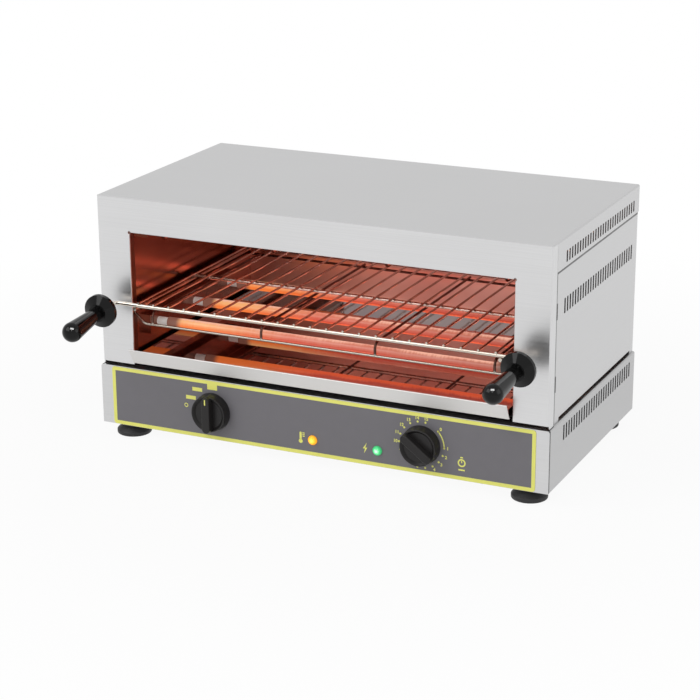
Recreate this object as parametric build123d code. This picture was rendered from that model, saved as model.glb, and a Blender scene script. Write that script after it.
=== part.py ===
from build123d import *
import math
import os

# Overall sizes, in millimetres
body_width = 640.0
body_depth = 345.0
body_height = 335.0
foot_height = 18.0
base_height = 83.0
shadow_gap = 4.5
upper_inset = 2.0
front_inset = 3.5

# Sheet metal and fits
sheet = 1.2
liner_sheet = 1.0
inner_bend = 1.3
edge_round_share = 0.75
seam = 0.4
running_clearance = 0.05
slide_clearance = 0.3
cut_over = 5.0

# Ventilation slots in the sides
slot_width = 4.9
slot_pitch = 9.85
slot_row_start = 51.5
slot_row_end = 22.5
base_slot_drop = 9.2
base_slot_height = 20.0
side_slot_drop = 41.0
side_slot_height = 19.5
cover_slot_low = 5.0
cover_slot_height = 14.7

# Base casing, front panel and bottom plate
base_flange = 30.0
panel_return = 20.0
panel_corner_radius = 3.5
bottom_return = 15.0
bottom_rim = 11.0
bottom_vent_length = 40.0
bottom_vent_width = 5.0
bottom_vent_pitch = 16.0
bottom_vent_count = 11
bottom_screw_count = 3
bottom_screw_inset = 90.0
bottom_screw_setback = 8.0

# Printed overlay
overlay_side_margin = 17.0
overlay_top_margin = 1.0
overlay_low = 0.4
overlay_thickness = 0.4
overlay_corner = 4.0

# Feet and their fasteners
foot_inset = 33.0
foot_front = 25.0
foot_back = 35.0
foot_bottom_diameter = 47.0
foot_waist_diameter = 33.0
foot_top_diameter = 38.0
foot_flange_height = 5.5
foot_edge_round = 2.0
foot_waist_height = 12.0
foot_recess_diameter = 16.0
foot_recess_depth = 8.0
screw_diameter = 5.0
screw_head_diameter = 10.0
screw_head_height = 3.2
nut_across = 8.0
nut_height = 4.0
small_screw_diameter = 3.5
small_head_diameter = 7.0
small_head_height = 2.2
small_screw_length = 7.0

# Front frame
stile_width = 48.0
top_bar_height = 47.0
frame_return = 16.0
opening_return = 12.0
corner_relief = 4.4
tab_window_width = 2.3
tab_window_height = 21.5
tab_window_lower = 37.0
tab_window_drop = 40.5

# Top cover, side panels and rear panel
cover_flange = 37.0
cover_rear_flange = 22.0
panel_lap = 4.0
panel_front_lap = 6.0
panel_rear_flange = 14.0
air_gap_start = 41.0
air_gap_end = 16.0
air_gap_height = 4.8
rear_vent_width = 7.0
rear_vent_height = 11.0
rear_vent_pitch = 16.0
rear_vent_low = 111.0
rear_vent_margin = 78.0
rear_screw_count = 3
rear_screw_inset = 28.0
rear_screw_drop = 12.0

# Hot space
deck_inset = 24.0
deck_setback = 16.0
ceiling_rise = 16.0
ceiling_lap = 14.0
ceiling_rim = 12.0

# Rack rails and tray runners
rail_height = 80.0
rail_ledge = 17.0
rail_web = 10.5
rail_start = 27.0
rail_end = 22.0
runner_strip_width = 16.0
runner_strip_start = 20.0
runner_strip_end = 15.0

# Quartz tubes, ceramic ends and carriers
tube_diameter = 13.5
tube_wall = 1.5
tube_first = 58.0
tube_spacing = 100.0
tube_names = ("front", "middle", "rear")
lower_tube_height = 47.5
upper_tube_drop = 17.0
coil_diameter = 7.0
coil_end_gap = 2.0
lead_diameter = 2.4
lead_reach = 9.0
plug_spigot = 8.0
plug_diameter = 11.0
plug_length = 16.0
neck_diameter = 7.0
neck_reach = 4.0
carrier_height = 26.0
carrier_depth = 9.2
carrier_margin = 22.0

# Wire guards
guard_wire = 3.5
guard_wire_count = 4
guard_side_gap = 19.0
guard_bend = 9.0
lower_guard_under_rack = 5.0
lower_guard_front = 10.0
lower_guard_drop = 17.5
upper_guard_under_tubes = 16.0
upper_guard_front = 43.0
upper_guard_rise = 18.0
guard_back = 12.0
guard_end_run = 19.0
guard_end_rise = 17.0
guard_end_bend = 11.0
weld_sink = 0.4

# Wire rack and its handles
rack_set_off = 8.0
rack_bar = 5.5
rack_runner = 5.0
rack_wire = 3.0
rack_side_gap = 13.2
rack_wire_pitch = 22.9
rack_back = 27.0
rack_nub = 3.0
rack_middle_share = 0.48
bar_corner_out = 23.5
bar_bend = 11.0
handle_droop = 5.5
handle_toe_in = 2.4
handle_start = 29.0
handle_bore_depth = 30.0
collar_diameter = 45.0
collar_rim = 5.0
collar_cone = 6.0
handle_boss_diameter = 23.0
handle_boss_length = 3.0
grip_root_diameter = 17.5
grip_tip_diameter = 26.5
grip_ball_place = 106.5

# Crumb tray
tray_lift = 3.3
tray_sheet = 1.0
tray_side_gap = 5.0
tray_wall_height = 11.0
tray_back_gap = 8.0
tray_lip_side_gap = 2.0
tray_lip_out = 10.0
tray_lip_rise = 20.0
tray_lip_foot = 2.5
tray_bead = 2.2

# Controls
knob_spread = 300.0
knob_height = 39.5
knob_gap = 0.6
knob_skirt_diameter = 52.0
knob_face_diameter = 49.0
knob_skirt_height = 14.0
knob_rim = 1.6
knob_dish = 3.2
knob_edge_round = 1.0
wing_length = 52.0
wing_width = 14.0
wing_height = 21.0
wing_taper = 4.0
wing_round = 1.4
timer_set_angle = 53.0
shaft_diameter = 6.0
shaft_grip = 14.0
shaft_seat = 12.0
bushing_diameter = 9.5
bushing_clearance = 0.2
overlay_hole = 14.0
switch_width = 36.0
switch_height = 40.0
switch_depth = 36.0
timer_width = 54.0
timer_height = 54.0
timer_depth = 38.0

# Indicator lamps
amber_place = -3.0
green_place = 89.0
lamp_height = 22.0
lens_diameter = 13.0
lens_dome = 4.6
lens_rim = 1.2
lamp_hole = 9.0
holder_wall = 1.2
holder_length = 24.0
holder_nut_diameter = 14.0
holder_nut_height = 3.0

# Mains entry
gland_inset = 105.0
gland_height = 40.0
gland_bore = 10.0
gland_thread = 16.0
gland_thread_length = 12.0
gland_hex = 24.0
gland_hex_length = 6.0
gland_dome_diameter = 21.0
gland_mouth_diameter = 14.0
gland_dome_length = 12.0
gland_nut_across = 22.0
gland_nut_length = 5.0
gland_hole_clearance = 0.3
terminal_width = 60.0
terminal_depth = 22.0
terminal_height = 20.0
terminal_setback = 45.0
terminal_shift = 70.0
terminal_hole = 6.0
terminal_hole_depth = 9.0
terminal_ways = 5

# Heights, planes and half widths that follow from the sizes above
bend_radius = inner_bend + sheet
edge_round = sheet * edge_round_share
half_width = body_width / 2
upper_half = half_width - upper_inset
opening_half = upper_half - stile_width
base_bottom = foot_height
base_top = base_bottom + base_height
upper_bottom = base_top + shadow_gap
deck_top = upper_bottom + sheet
opening_top = body_height - top_bar_height
cover_under = body_height - sheet
cover_low = body_height - cover_flange
ceiling_z = opening_top + ceiling_rise
handle_lean = math.cos(math.radians(handle_droop)) * math.cos(math.radians(handle_toe_in))
handle_reach = rack_set_off + grip_ball_place * handle_lean + grip_tip_diameter / 2
gland_reach = gland_hex_length + gland_dome_length
front_y = (handle_reach - body_depth - gland_reach) / 2
back_y = front_y + body_depth
frame_y = front_y + front_inset
frame_back = frame_y + frame_return
rear_face = back_y - sheet
rear_inner = rear_face - sheet
liner_x = opening_half + sheet
neck_end = liner_x + liner_sheet + neck_reach
carrier_face = liner_x - carrier_depth
tube_half = carrier_face - plug_length
rail_top = upper_bottom + rail_height
lower_tube_z = upper_bottom + lower_tube_height
upper_tube_z = ceiling_z - upper_tube_drop
tray_under = deck_top + tray_lift
knob_z = base_bottom + knob_height
lamp_z = base_bottom + lamp_height
overlay_face = front_y - overlay_thickness
knob_back = overlay_face - knob_gap
knob_x = knob_spread / 2
foot_x = half_width - foot_inset
tray_half = opening_half - tray_side_gap
gland_z = base_bottom + gland_height
gland_place = half_width - gland_inset
guard_spacing = 2 * (carrier_face - guard_side_gap) / (guard_wire_count - 1)
bottom_screw_spacing = 2 * (half_width - bottom_screw_inset) / (bottom_screw_count - 1)
rear_screw_spacing = 2 * (upper_half - rear_screw_inset) / (rear_screw_count - 1)

# Wire rack levels, from the rails upwards
runner_x = liner_x - rack_side_gap
runner_z = rail_top + slide_clearance + rack_runner / 2
bar_z = runner_z + rack_runner / 2 + rack_bar / 2 - weld_sink
wire_z = bar_z + rack_bar / 2 + rack_wire / 2 - weld_sink
bar_y = front_y - rack_set_off
grid_back = back_y - rack_back


def block(low, high):
    """Box between two opposite corners."""
    middle = [(a + b) / 2 for a, b in zip(low, high)]
    size = [b - a for a, b in zip(low, high)]
    return Pos(*middle) * Box(*size)


def rod(start, end, diameter):
    """Round bar between two points."""
    run = Vector(*end) - Vector(*start)
    seat = Plane(origin=start, z_dir=run)
    return seat * Cylinder(diameter / 2, run.length, align=(Align.CENTER, Align.CENTER, Align.MIN))


def bent_wire(points, radius, diameter):
    """Round wire along straight runs with one bend radius."""
    path = FilletPolyline(*points, radius=radius)
    seat = Plane(origin=path @ 0, z_dir=path % 0)
    return sweep(seat * Circle(diameter / 2), path=path)


def hexagon(start, direction, across, height):
    """Six-sided nut or head standing on a point."""
    seat = Plane(origin=start, z_dir=direction)
    return extrude(seat * RegularPolygon(across / 2, side_count=6, major_radius=False), height)


def both_sides(right):
    """A right-hand piece and its left-hand twin."""
    return right, mirror(right, about=Plane.YZ)


def spaced(count, pitch):
    """Places of a row that is centred on zero."""
    return [(i - (count - 1) / 2) * pitch for i in range(count)]


def write(name, shape):
    export_step(shape, os.path.join("parts", name + ".step"))


def slot_row(low, height):
    """One row of upright air slots that runs right across the body."""
    room = body_depth - slot_row_start - slot_row_end - slot_width
    count = int(room / slot_pitch) + 1
    first = front_y + slot_row_start
    reach = half_width + cut_over
    starts = [first + i * slot_pitch for i in range(count)]
    return [block((-reach, y, low), (reach, y + slot_width, low + height)) for y in starts]


def folded_shell(low, high, radius, edges_of):
    """Solid with rounded bends, for the outside or the inside of a folded sheet."""
    body = block(low, high)
    return fillet(edges_of(body), radius)


def hood_bends(body):
    """Long top edges, top rear edge and upright rear edges of a hood."""
    top = body.edges().group_by(Axis.Z)[-1]
    sides = top.filter_by(Axis.Y)
    rear = top.filter_by(Axis.X).sort_by(Axis.Y)[-1:]
    uprights = body.edges().filter_by(Axis.Z).group_by(Axis.Y)[-1]
    return sides + rear + uprights


def front_uprights(body):
    return body.edges().filter_by(Axis.Z).group_by(Axis.Y)[0]


def base_casing():
    wall_y = front_y + sheet + seam
    outer = folded_shell((-half_width, wall_y, base_bottom), (half_width, back_y, base_top),
                         bend_radius, hood_bends)
    inside = half_width - sheet
    hollow = folded_shell((-inside, wall_y - cut_over, base_bottom - cut_over),
                          (inside, back_y - sheet, base_top - sheet), inner_bend, hood_bends)
    window_half = half_width - base_flange
    window = block((-window_half, wall_y - cut_over, base_top - base_flange),
                   (window_half, back_y - base_flange, base_top + cut_over))
    notch = block((-inside, wall_y - cut_over, base_top - base_flange),
                  (inside, front_y + panel_return + seam, base_top + cut_over))
    hole = rod((gland_place, back_y - base_flange, gland_z), (gland_place, back_y + cut_over, gland_z),
               gland_thread + 2 * gland_hole_clearance)
    slots = slot_row(base_top - base_slot_drop - base_slot_height, base_slot_height)
    return outer - hollow - window - notch - hole - slots


def base_front_panel():
    plate = block((-half_width, front_y, base_bottom), (half_width, front_y + sheet, base_top))
    plate = fillet(plate.edges().filter_by(Axis.Y).group_by(Axis.Z)[-1], panel_corner_radius)
    return_half = half_width - panel_corner_radius
    top = block((-return_half, front_y, base_top - sheet), (return_half, front_y + panel_return, base_top))
    bottom_low = base_bottom + sheet
    bottom = block((-return_half, front_y, bottom_low),
                   (return_half, front_y + bottom_return, bottom_low + sheet))
    panel = plate + top + bottom
    for x in (-knob_x, knob_x):
        panel -= through_front(x, knob_z, bushing_diameter + 2 * bushing_clearance)
    for place in (amber_place, green_place):
        panel -= through_front(place, lamp_z, lamp_hole)
    return panel - bottom_holes(small_screw_diameter + 2 * running_clearance)


def through_front(x, z, diameter):
    return rod((x, front_y - cut_over, z), (x, front_y + cut_over, z), diameter)


def bottom_holes(diameter):
    """Screw shanks or holes that join the front panel's lower fold to the bottom plate."""
    y = front_y + bottom_screw_setback
    top = base_bottom + small_screw_length
    places = spaced(bottom_screw_count, bottom_screw_spacing)
    return [rod((x, y, base_bottom), (x, y, top), diameter) for x in places]


def control_overlay():
    half = half_width - overlay_side_margin
    film = block((-half, overlay_face, base_bottom + overlay_low),
                 (half, front_y, base_top - overlay_top_margin))
    film = fillet(film.edges().filter_by(Axis.Y), overlay_corner)
    for x in (-knob_x, knob_x):
        film -= through_front(x, knob_z, overlay_hole)
    for place in (amber_place, green_place):
        film -= through_front(place, lamp_z, lamp_hole)
    return film


def foot_places():
    places = {}
    for end, y in (("front", front_y + foot_front), ("rear", back_y - foot_back)):
        for side, x in (("left", -foot_x), ("right", foot_x)):
            places["foot_" + end + "_" + side] = (x, y)
    return places


def bottom_plate():
    half = half_width - sheet
    low = (-half, front_y + sheet, base_bottom)
    plate = block(low, (half, back_y - sheet, base_bottom + bottom_rim))
    plate = fillet(plate.edges().filter_by(Axis.Z).group_by(Axis.Y)[-1], bend_radius)
    plate -= block((-half + sheet, front_y - cut_over, base_bottom + sheet),
                   (half - sheet, back_y - 2 * sheet, base_bottom + bottom_rim + cut_over))
    for x, y in foot_places().values():
        plate -= rod((x, y, base_bottom - cut_over), (x, y, base_bottom + cut_over),
                     screw_diameter + 2 * running_clearance)
    middle = (front_y + back_y) / 2
    for x in spaced(bottom_vent_count, bottom_vent_pitch):
        plate -= block((x - bottom_vent_width / 2, middle - bottom_vent_length / 2, base_bottom - cut_over),
                       (x + bottom_vent_width / 2, middle + bottom_vent_length / 2, base_bottom + cut_over))
    return plate - bottom_holes(small_screw_diameter + 2 * running_clearance)


def foot(x, y):
    """Flared rubber foot with a recess for its screw."""
    outline = Polyline(
        (screw_diameter / 2 + running_clearance, foot_recess_depth),
        (foot_recess_diameter / 2, foot_recess_depth),
        (foot_recess_diameter / 2, 0),
        (foot_bottom_diameter / 2, 0),
        (foot_bottom_diameter / 2, foot_flange_height),
        (foot_waist_diameter / 2, foot_waist_height),
        (foot_top_diameter / 2, foot_height),
        (screw_diameter / 2 + running_clearance, foot_height),
        close=True,
    )
    body = revolve(make_face(Plane.XZ * outline), Axis.Z)
    rims = [e for e in body.edges().filter_by(GeomType.CIRCLE)
            if e.radius > foot_top_diameter / 2 + running_clearance]
    return Pos(x, y, 0) * fillet(rims, foot_edge_round)


def foot_screw(x, y):
    head_low = foot_recess_depth - screw_head_height
    head = rod((x, y, head_low), (x, y, foot_recess_depth), screw_head_diameter)
    return head + rod((x, y, head_low), (x, y, base_bottom + sheet + nut_height), screw_diameter)


def foot_nut(x, y):
    seat = base_bottom + sheet
    nut = hexagon((x, y, seat), (0, 0, 1), nut_across, nut_height)
    return nut - rod((x, y, seat - cut_over), (x, y, seat + nut_height + cut_over),
                     screw_diameter + 2 * running_clearance)


def bottom_screws():
    y = front_y + bottom_screw_setback
    shanks = bottom_holes(small_screw_diameter)
    heads = [rod((x, y, base_bottom - small_head_height), (x, y, base_bottom), small_head_diameter)
             for x in spaced(bottom_screw_count, bottom_screw_spacing)]
    return [head + shank for head, shank in zip(heads, shanks)]


def deck_plate():
    half = half_width - deck_inset
    front = frame_y + deck_setback
    back = rear_inner - seam
    deck = block((-half, front, base_top), (half, back, deck_top))
    return deck - block((-half + sheet, front - cut_over, base_top - cut_over),
                        (half - sheet, back - sheet, upper_bottom))


def front_frame():
    outer = folded_shell((-upper_half, frame_y, upper_bottom), (upper_half, frame_back, cover_under),
                         bend_radius, front_uprights)
    inside = upper_half - sheet
    hollow = folded_shell((-inside, frame_y + sheet, upper_bottom - cut_over),
                          (inside, frame_back + cut_over, cover_under - sheet),
                          inner_bend, front_uprights)
    frame = outer - hollow
    frame += block((-liner_x, frame_y, upper_bottom),
                   (liner_x, frame_y + opening_return, opening_top + sheet))
    frame -= block((-opening_half, frame_y - cut_over, upper_bottom - cut_over),
                   (opening_half, frame_back, opening_top))
    leg = block((inside, frame_y + bend_radius, base_top), (upper_half, frame_back, upper_bottom))
    for piece in both_sides(leg):
        frame += piece
    rim = [e for e in frame.edges().group_by(Axis.Y)[0]
           if abs(e.center().X) < opening_half + edge_round and e.center().Z < opening_top + edge_round
           and e.center().Z > upper_bottom + edge_round]
    frame = fillet(rim, edge_round)
    for x in (-opening_half, opening_half):
        start = (x, frame_y - cut_over, opening_top)
        frame -= rod(start, (x, frame_y + bend_radius, opening_top), corner_relief)
    return frame


def top_cover():
    outer = folded_shell((-upper_half, frame_y, cover_low), (upper_half, back_y, body_height),
                         bend_radius, hood_bends)
    inside = upper_half - sheet
    hollow = folded_shell((-inside, frame_y - cut_over, cover_low - cut_over),
                          (inside, rear_face, cover_under), inner_bend, hood_bends)
    cover = outer - hollow
    cover -= block((-half_width, frame_y - cut_over, cover_low - cut_over),
                   (half_width, frame_back + seam, cover_under))
    cover -= block((-inside + bend_radius, rear_face - cut_over, cover_low - cut_over),
                   (inside - bend_radius, back_y + cut_over, body_height - cover_rear_flange))
    cover -= rear_screw_shanks(small_screw_diameter + 2 * running_clearance)
    return cover - slot_row(cover_low + cover_slot_low, cover_slot_height)


def side_panel():
    """Right outer side with a folded rear edge, an air gap along its foot and two tab windows."""
    outside = upper_half - sheet
    inside = outside - sheet
    top = cover_low + panel_lap
    front = frame_back - panel_front_lap
    panel = block((inside, front, base_top), (outside, rear_inner, top))
    panel += block((outside - panel_rear_flange, rear_inner - sheet, base_top), (outside, rear_inner, top))
    panel -= block((inside - cut_over, front_y + air_gap_start, base_top - cut_over),
                   (outside + cut_over, back_y - air_gap_end, base_top + air_gap_height))
    window_end = frame_back + tab_window_width
    for low in (upper_bottom + tab_window_lower, cover_low - tab_window_drop - tab_window_height):
        panel -= block((inside - cut_over, frame_back, low),
                       (outside + cut_over, window_end, low + tab_window_height))
    return panel - slot_row(cover_low - side_slot_drop - side_slot_height, side_slot_height)


def rear_screw_shanks(diameter):
    """Shanks or holes of the screws through the cover's rear flange and the rear panel."""
    z = body_height - rear_screw_drop
    start = back_y - small_screw_length
    places = spaced(rear_screw_count, rear_screw_spacing)
    return [rod((x, start, z), (x, back_y, z), diameter) for x in places]


def rear_panel():
    half = upper_half - bend_radius
    panel = block((-half, rear_inner, base_top), (half, rear_face, body_height - sheet - bend_radius))
    count = int((2 * half - 2 * rear_vent_margin) / rear_vent_pitch) + 1
    low = upper_bottom + rear_vent_low
    for x in spaced(count, rear_vent_pitch):
        panel -= block((x - rear_vent_width / 2, rear_inner - cut_over, low),
                       (x + rear_vent_width / 2, rear_face + cut_over, low + rear_vent_height))
    return panel - rear_screw_shanks(small_screw_diameter + 2 * running_clearance)


def rear_screws():
    z = body_height - rear_screw_drop
    heads = [rod((x, back_y, z), (x, back_y + small_head_height, z), small_head_diameter)
             for x in spaced(rear_screw_count, rear_screw_spacing)]
    return [head + shank for head, shank in zip(heads, rear_screw_shanks(small_screw_diameter))]


def tube_places():
    return {name: front_y + tube_first + i * tube_spacing for i, name in enumerate(tube_names)}


def side_liner():
    liner = block((liner_x, frame_y + sheet + seam, deck_top),
                  (liner_x + liner_sheet, rear_inner, ceiling_z))
    for z in (lower_tube_z, upper_tube_z):
        for y in tube_places().values():
            liner -= rod((liner_x - cut_over, y, z), (liner_x + cut_over, y, z),
                         neck_diameter + 2 * running_clearance)
    return liner


def ceiling_reflector():
    half = liner_x + liner_sheet + ceiling_lap
    low = (-half, frame_y + sheet + seam, ceiling_z)
    top = ceiling_z + ceiling_rim
    tray = block(low, (half, rear_inner, top))
    return tray - block((-half + liner_sheet, low[1] + liner_sheet, ceiling_z + liner_sheet),
                        (half - liner_sheet, rear_inner - liner_sheet, top + cut_over))


def rack_rail():
    start = front_y + rail_start
    end = back_y - rail_end
    ledge = block((liner_x - rail_ledge, start, rail_top - sheet), (liner_x, end, rail_top))
    web = block((liner_x - sheet, start, rail_top - rail_web), (liner_x, end, rail_top))
    rail = ledge + web
    bend = [e for e in rail.edges().filter_by(Axis.Y)
            if abs(e.center().X - (liner_x - sheet)) < sheet / 2 and e.center().Z < rail_top - sheet / 2
            and e.center().Z > rail_top - 2 * sheet]
    return fillet(bend, edge_round)


def tray_runner():
    return block((tray_half - runner_strip_width, front_y + runner_strip_start, deck_top),
                 (tray_half, back_y - runner_strip_end, tray_under - slide_clearance))


def quartz_tube(y, z):
    tube = rod((-tube_half, y, z), (tube_half, y, z), tube_diameter)
    reach = tube_half + cut_over
    return tube - rod((-reach, y, z), (reach, y, z), tube_diameter - 2 * tube_wall)


def heater_coil(y, z):
    """Heating element as a smooth core with its two lead pins."""
    half = tube_half - plug_spigot - coil_end_gap
    pin = neck_end + lead_reach
    return rod((-half, y, z), (half, y, z), coil_diameter) + rod((-pin, y, z), (pin, y, z), lead_diameter)


def tube_plug(y, z):
    """Right-hand ceramic end: a spigot in the tube, a head, and a neck through carrier and liner."""
    spigot_diameter = tube_diameter - 2 * tube_wall - 2 * running_clearance
    start = tube_half - plug_spigot
    plug = rod((start, y, z), (tube_half, y, z), spigot_diameter)
    plug += rod((tube_half, y, z), (carrier_face, y, z), plug_diameter)
    plug += rod((tube_half, y, z), (neck_end, y, z), neck_diameter)
    return plug - rod((start - cut_over, y, z), (neck_end + cut_over, y, z),
                      lead_diameter + 2 * running_clearance)


def tube_carrier(z):
    """Right-hand folded strip on the liner that holds the three ceramic ends of a bank."""
    front = front_y + tube_first - carrier_margin
    back = front_y + tube_first + (len(tube_names) - 1) * tube_spacing + carrier_margin
    low = z - carrier_height / 2
    high = z + carrier_height / 2
    strip = block((carrier_face, front, low), (liner_x, back, high))
    strip -= block((carrier_face + liner_sheet, front + liner_sheet, low + liner_sheet),
                   (liner_x + cut_over, back - liner_sheet, high - liner_sheet))
    for y in tube_places().values():
        strip -= rod((carrier_face - cut_over, y, z), (carrier_face + cut_over, y, z),
                     neck_diameter + 2 * running_clearance)
    return strip


def guard_wires(z, front, turn):
    """Wires that run from front to back and turn up or down at the front."""
    back = back_y - guard_back
    wires = []
    for x in spaced(guard_wire_count, guard_spacing):
        points = ((x, front, z + turn), (x, front, z), (x, back, z))
        wires.append(bent_wire(points, guard_bend, guard_wire))
    return wires


def guard_rear_bar(z):
    y = back_y - guard_back - guard_wire
    return rod((-liner_x, y, z), (liner_x, y, z), guard_wire)


def lower_tube_guard():
    z = rail_top - lower_guard_under_rack
    front = front_y + lower_guard_front
    low = z - lower_guard_drop
    end = opening_half + guard_wire
    high = low + guard_end_rise
    run = end - guard_end_run
    bar = bent_wire(((-end, front, high), (-run, front, low), (run, front, low), (end, front, high)),
                    guard_end_bend, guard_wire)
    margin = guard_wire + cut_over
    for trim in both_sides(block((opening_half, front - margin, low - margin),
                                 (end + margin, front + margin, high + margin))):
        bar -= trim
    guard = bar + guard_rear_bar(z - guard_wire + weld_sink)
    for wire in guard_wires(z, front, -lower_guard_drop):
        guard += wire
    return guard


def upper_tube_guard():
    z = upper_tube_z - upper_guard_under_tubes
    front = front_y + upper_guard_front
    high = z + upper_guard_rise
    guard = rod((-carrier_face, front, high), (carrier_face, front, high), guard_wire)
    guard += guard_rear_bar(z + guard_wire - weld_sink)
    for wire in guard_wires(z, front, upper_guard_rise):
        guard += wire
    return guard


def control_body(x, width, height, depth):
    """Switch or timer housing with a threaded bushing in the front panel."""
    start = front_y + sheet
    body = block((x - width / 2, start, knob_z - height / 2),
                 (x + width / 2, start + depth, knob_z + height / 2))
    body = fillet(body.edges().filter_by(Axis.Y), bend_radius)
    body += rod((x, front_y, knob_z), (x, start + bend_radius, knob_z), bushing_diameter)
    return body - rod((x, front_y - cut_over, knob_z), (x, start + shaft_seat, knob_z),
                      shaft_diameter + 2 * running_clearance)


def shaft(x):
    start = knob_back - shaft_grip
    end = front_y + sheet + shaft_seat - slide_clearance
    return rod((x, start, knob_z), (x, end, knob_z), shaft_diameter)


def knob(x, angle):
    """Round body with a dished face and a tapered wing across it, its pointer end up before turning."""
    face = knob_face_diameter / 2
    floor = knob_skirt_height - knob_dish
    outline = Polyline(
        (0, 0),
        (knob_skirt_diameter / 2, 0),
        (face, knob_skirt_height),
        (face - knob_rim, knob_skirt_height),
        (face - knob_rim - knob_dish, floor),
        (0, floor),
        close=True,
    )
    body = revolve(make_face(Plane.XZ * outline), Axis.Z)
    brim = [e for e in body.edges().filter_by(GeomType.CIRCLE) if abs(e.radius - face) < running_clearance]
    body = fillet(brim, knob_edge_round)
    foot_shape = SlotOverall(wing_length, wing_width, rotation=90)
    wing = extrude(foot_shape, wing_height, taper=wing_taper)
    wing = fillet(wing.edges().group_by(Axis.Z)[-1], wing_round)
    body += wing
    body -= Cylinder(shaft_diameter / 2 + running_clearance, shaft_grip + slide_clearance,
                     align=(Align.CENTER, Align.CENTER, Align.MIN))
    seat = Plane(origin=(x, knob_back, knob_z), x_dir=(1, 0, 0), z_dir=(0, -1, 0))
    return seat * Rot(0, 0, angle) * body


def lamp_lens(x):
    """Domed lens with a stem that seats in its holder."""
    radius = lens_diameter / 2
    rise = lens_dome - lens_rim
    ball = (radius ** 2 + rise ** 2) / (2 * rise)
    dome = Pos(0, 0, lens_dome - ball) * Sphere(ball)
    dome &= Cylinder(radius, lens_dome, align=(Align.CENTER, Align.CENTER, Align.MIN))
    seat = Plane(origin=(x, overlay_face, lamp_z), x_dir=(1, 0, 0), z_dir=(0, -1, 0))
    stem = rod((x, overlay_face, lamp_z), (x, front_y + holder_length / 2, lamp_z),
               lamp_hole - 2 * holder_wall - 2 * running_clearance)
    return seat * dome + stem


def lamp_holder(x):
    """Tube behind the panel that carries a lens, with its nut."""
    outside = lamp_hole - 2 * running_clearance
    tube = rod((x, overlay_face, lamp_z), (x, front_y + holder_length, lamp_z), outside)
    nut_start = front_y + sheet
    tube += rod((x, nut_start, lamp_z), (x, nut_start + holder_nut_height, lamp_z), holder_nut_diameter)
    return tube - rod((x, overlay_face - cut_over, lamp_z), (x, front_y + holder_length / 2, lamp_z),
                      lamp_hole - 2 * holder_wall)


def cable_gland():
    thread_end = back_y - sheet - gland_thread_length
    thread = rod((gland_place, thread_end, gland_z), (gland_place, back_y, gland_z), gland_thread)
    collar = hexagon((gland_place, back_y, gland_z), (0, 1, 0), gland_hex, gland_hex_length)
    seat = Plane(origin=(gland_place, back_y + gland_hex_length, gland_z), z_dir=(0, 1, 0))
    dome = seat * Cone(gland_dome_diameter / 2, gland_mouth_diameter / 2, gland_dome_length,
                       align=(Align.CENTER, Align.CENTER, Align.MIN))
    gland = thread + collar + dome
    return gland - rod((gland_place, thread_end - cut_over, gland_z),
                       (gland_place, back_y + gland_reach + cut_over, gland_z), gland_bore)


def gland_nut():
    start = back_y - sheet
    end = start - gland_nut_length
    nut = hexagon((gland_place, start, gland_z), (0, -1, 0), gland_nut_across, gland_nut_length)
    return nut - rod((gland_place, start + cut_over, gland_z), (gland_place, end - cut_over, gland_z),
                     gland_thread + 2 * running_clearance)


def terminal_block():
    x = gland_place - terminal_shift
    y = back_y - terminal_setback
    low = base_bottom + sheet
    high = low + terminal_height
    body = block((x - terminal_width / 2, y - terminal_depth / 2, low),
                 (x + terminal_width / 2, y + terminal_depth / 2, high))
    for place in spaced(terminal_ways, terminal_width / terminal_ways):
        way = x + place
        body -= rod((way, y, high - terminal_hole_depth), (way, y, high + cut_over), terminal_hole)
    return body


def handle_direction(side):
    """Way that a grip points: forward, a little down and a little inward."""
    droop = math.radians(handle_droop)
    toe = math.radians(handle_toe_in)
    return Vector(-side * math.sin(toe), -math.cos(toe) * math.cos(droop), -math.sin(droop))


def handle_corner(side):
    return Vector(side * (opening_half + bar_corner_out), bar_y, bar_z)


def rack_handle_bar():
    run = handle_start + handle_bore_depth - running_clearance
    ends = [handle_corner(side) + handle_direction(side) * run for side in (-1, 1)]
    return bent_wire((ends[0], handle_corner(-1), handle_corner(1), ends[1]), bar_bend, rack_bar)


def rack_grid():
    cross_end = runner_x + rack_runner / 2
    middle_y = bar_y + (grid_back - bar_y) * rack_middle_share
    rear_y = grid_back - rack_runner
    grid = rod((-cross_end, rear_y, bar_z), (cross_end, rear_y, bar_z), rack_bar)
    grid += rod((-cross_end, middle_y, bar_z), (cross_end, middle_y, bar_z), rack_bar)
    for x in (-runner_x, runner_x):
        grid += rod((x, bar_y - rack_nub, runner_z), (x, grid_back, runner_z), rack_runner)
    count = 2 * int((runner_x - rack_runner) / rack_wire_pitch) + 1
    for x in spaced(count, rack_wire_pitch):
        grid += rod((x, bar_y - rack_nub, wire_z), (x, grid_back, wire_z), rack_wire)
    return grid


def handle(side):
    """Moulded grip: a wide collar, a boss and a stem that swells to a round tip."""
    tip = grip_tip_diameter / 2
    rim_end = handle_start + collar_rim
    cone_end = rim_end + collar_cone
    boss_end = cone_end + handle_boss_length
    bore = rack_bar / 2 + running_clearance
    outline = Polyline(
        (0, grip_ball_place + tip),
        (0, handle_start + handle_bore_depth),
        (bore, handle_start + handle_bore_depth),
        (bore, handle_start),
        (collar_diameter / 2, handle_start),
        (collar_diameter / 2, rim_end),
        (handle_boss_diameter / 2, cone_end),
        (handle_boss_diameter / 2, boss_end),
        (grip_root_diameter / 2, boss_end),
        (tip, grip_ball_place),
    )
    cap = CenterArc((0, grip_ball_place), tip, 0, 90)
    body = revolve(make_face(Plane.XZ * (outline + cap)), Axis.Z)
    seat = Plane(origin=handle_corner(side), x_dir=(1, 0, 0), z_dir=handle_direction(side))
    return seat * body


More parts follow.
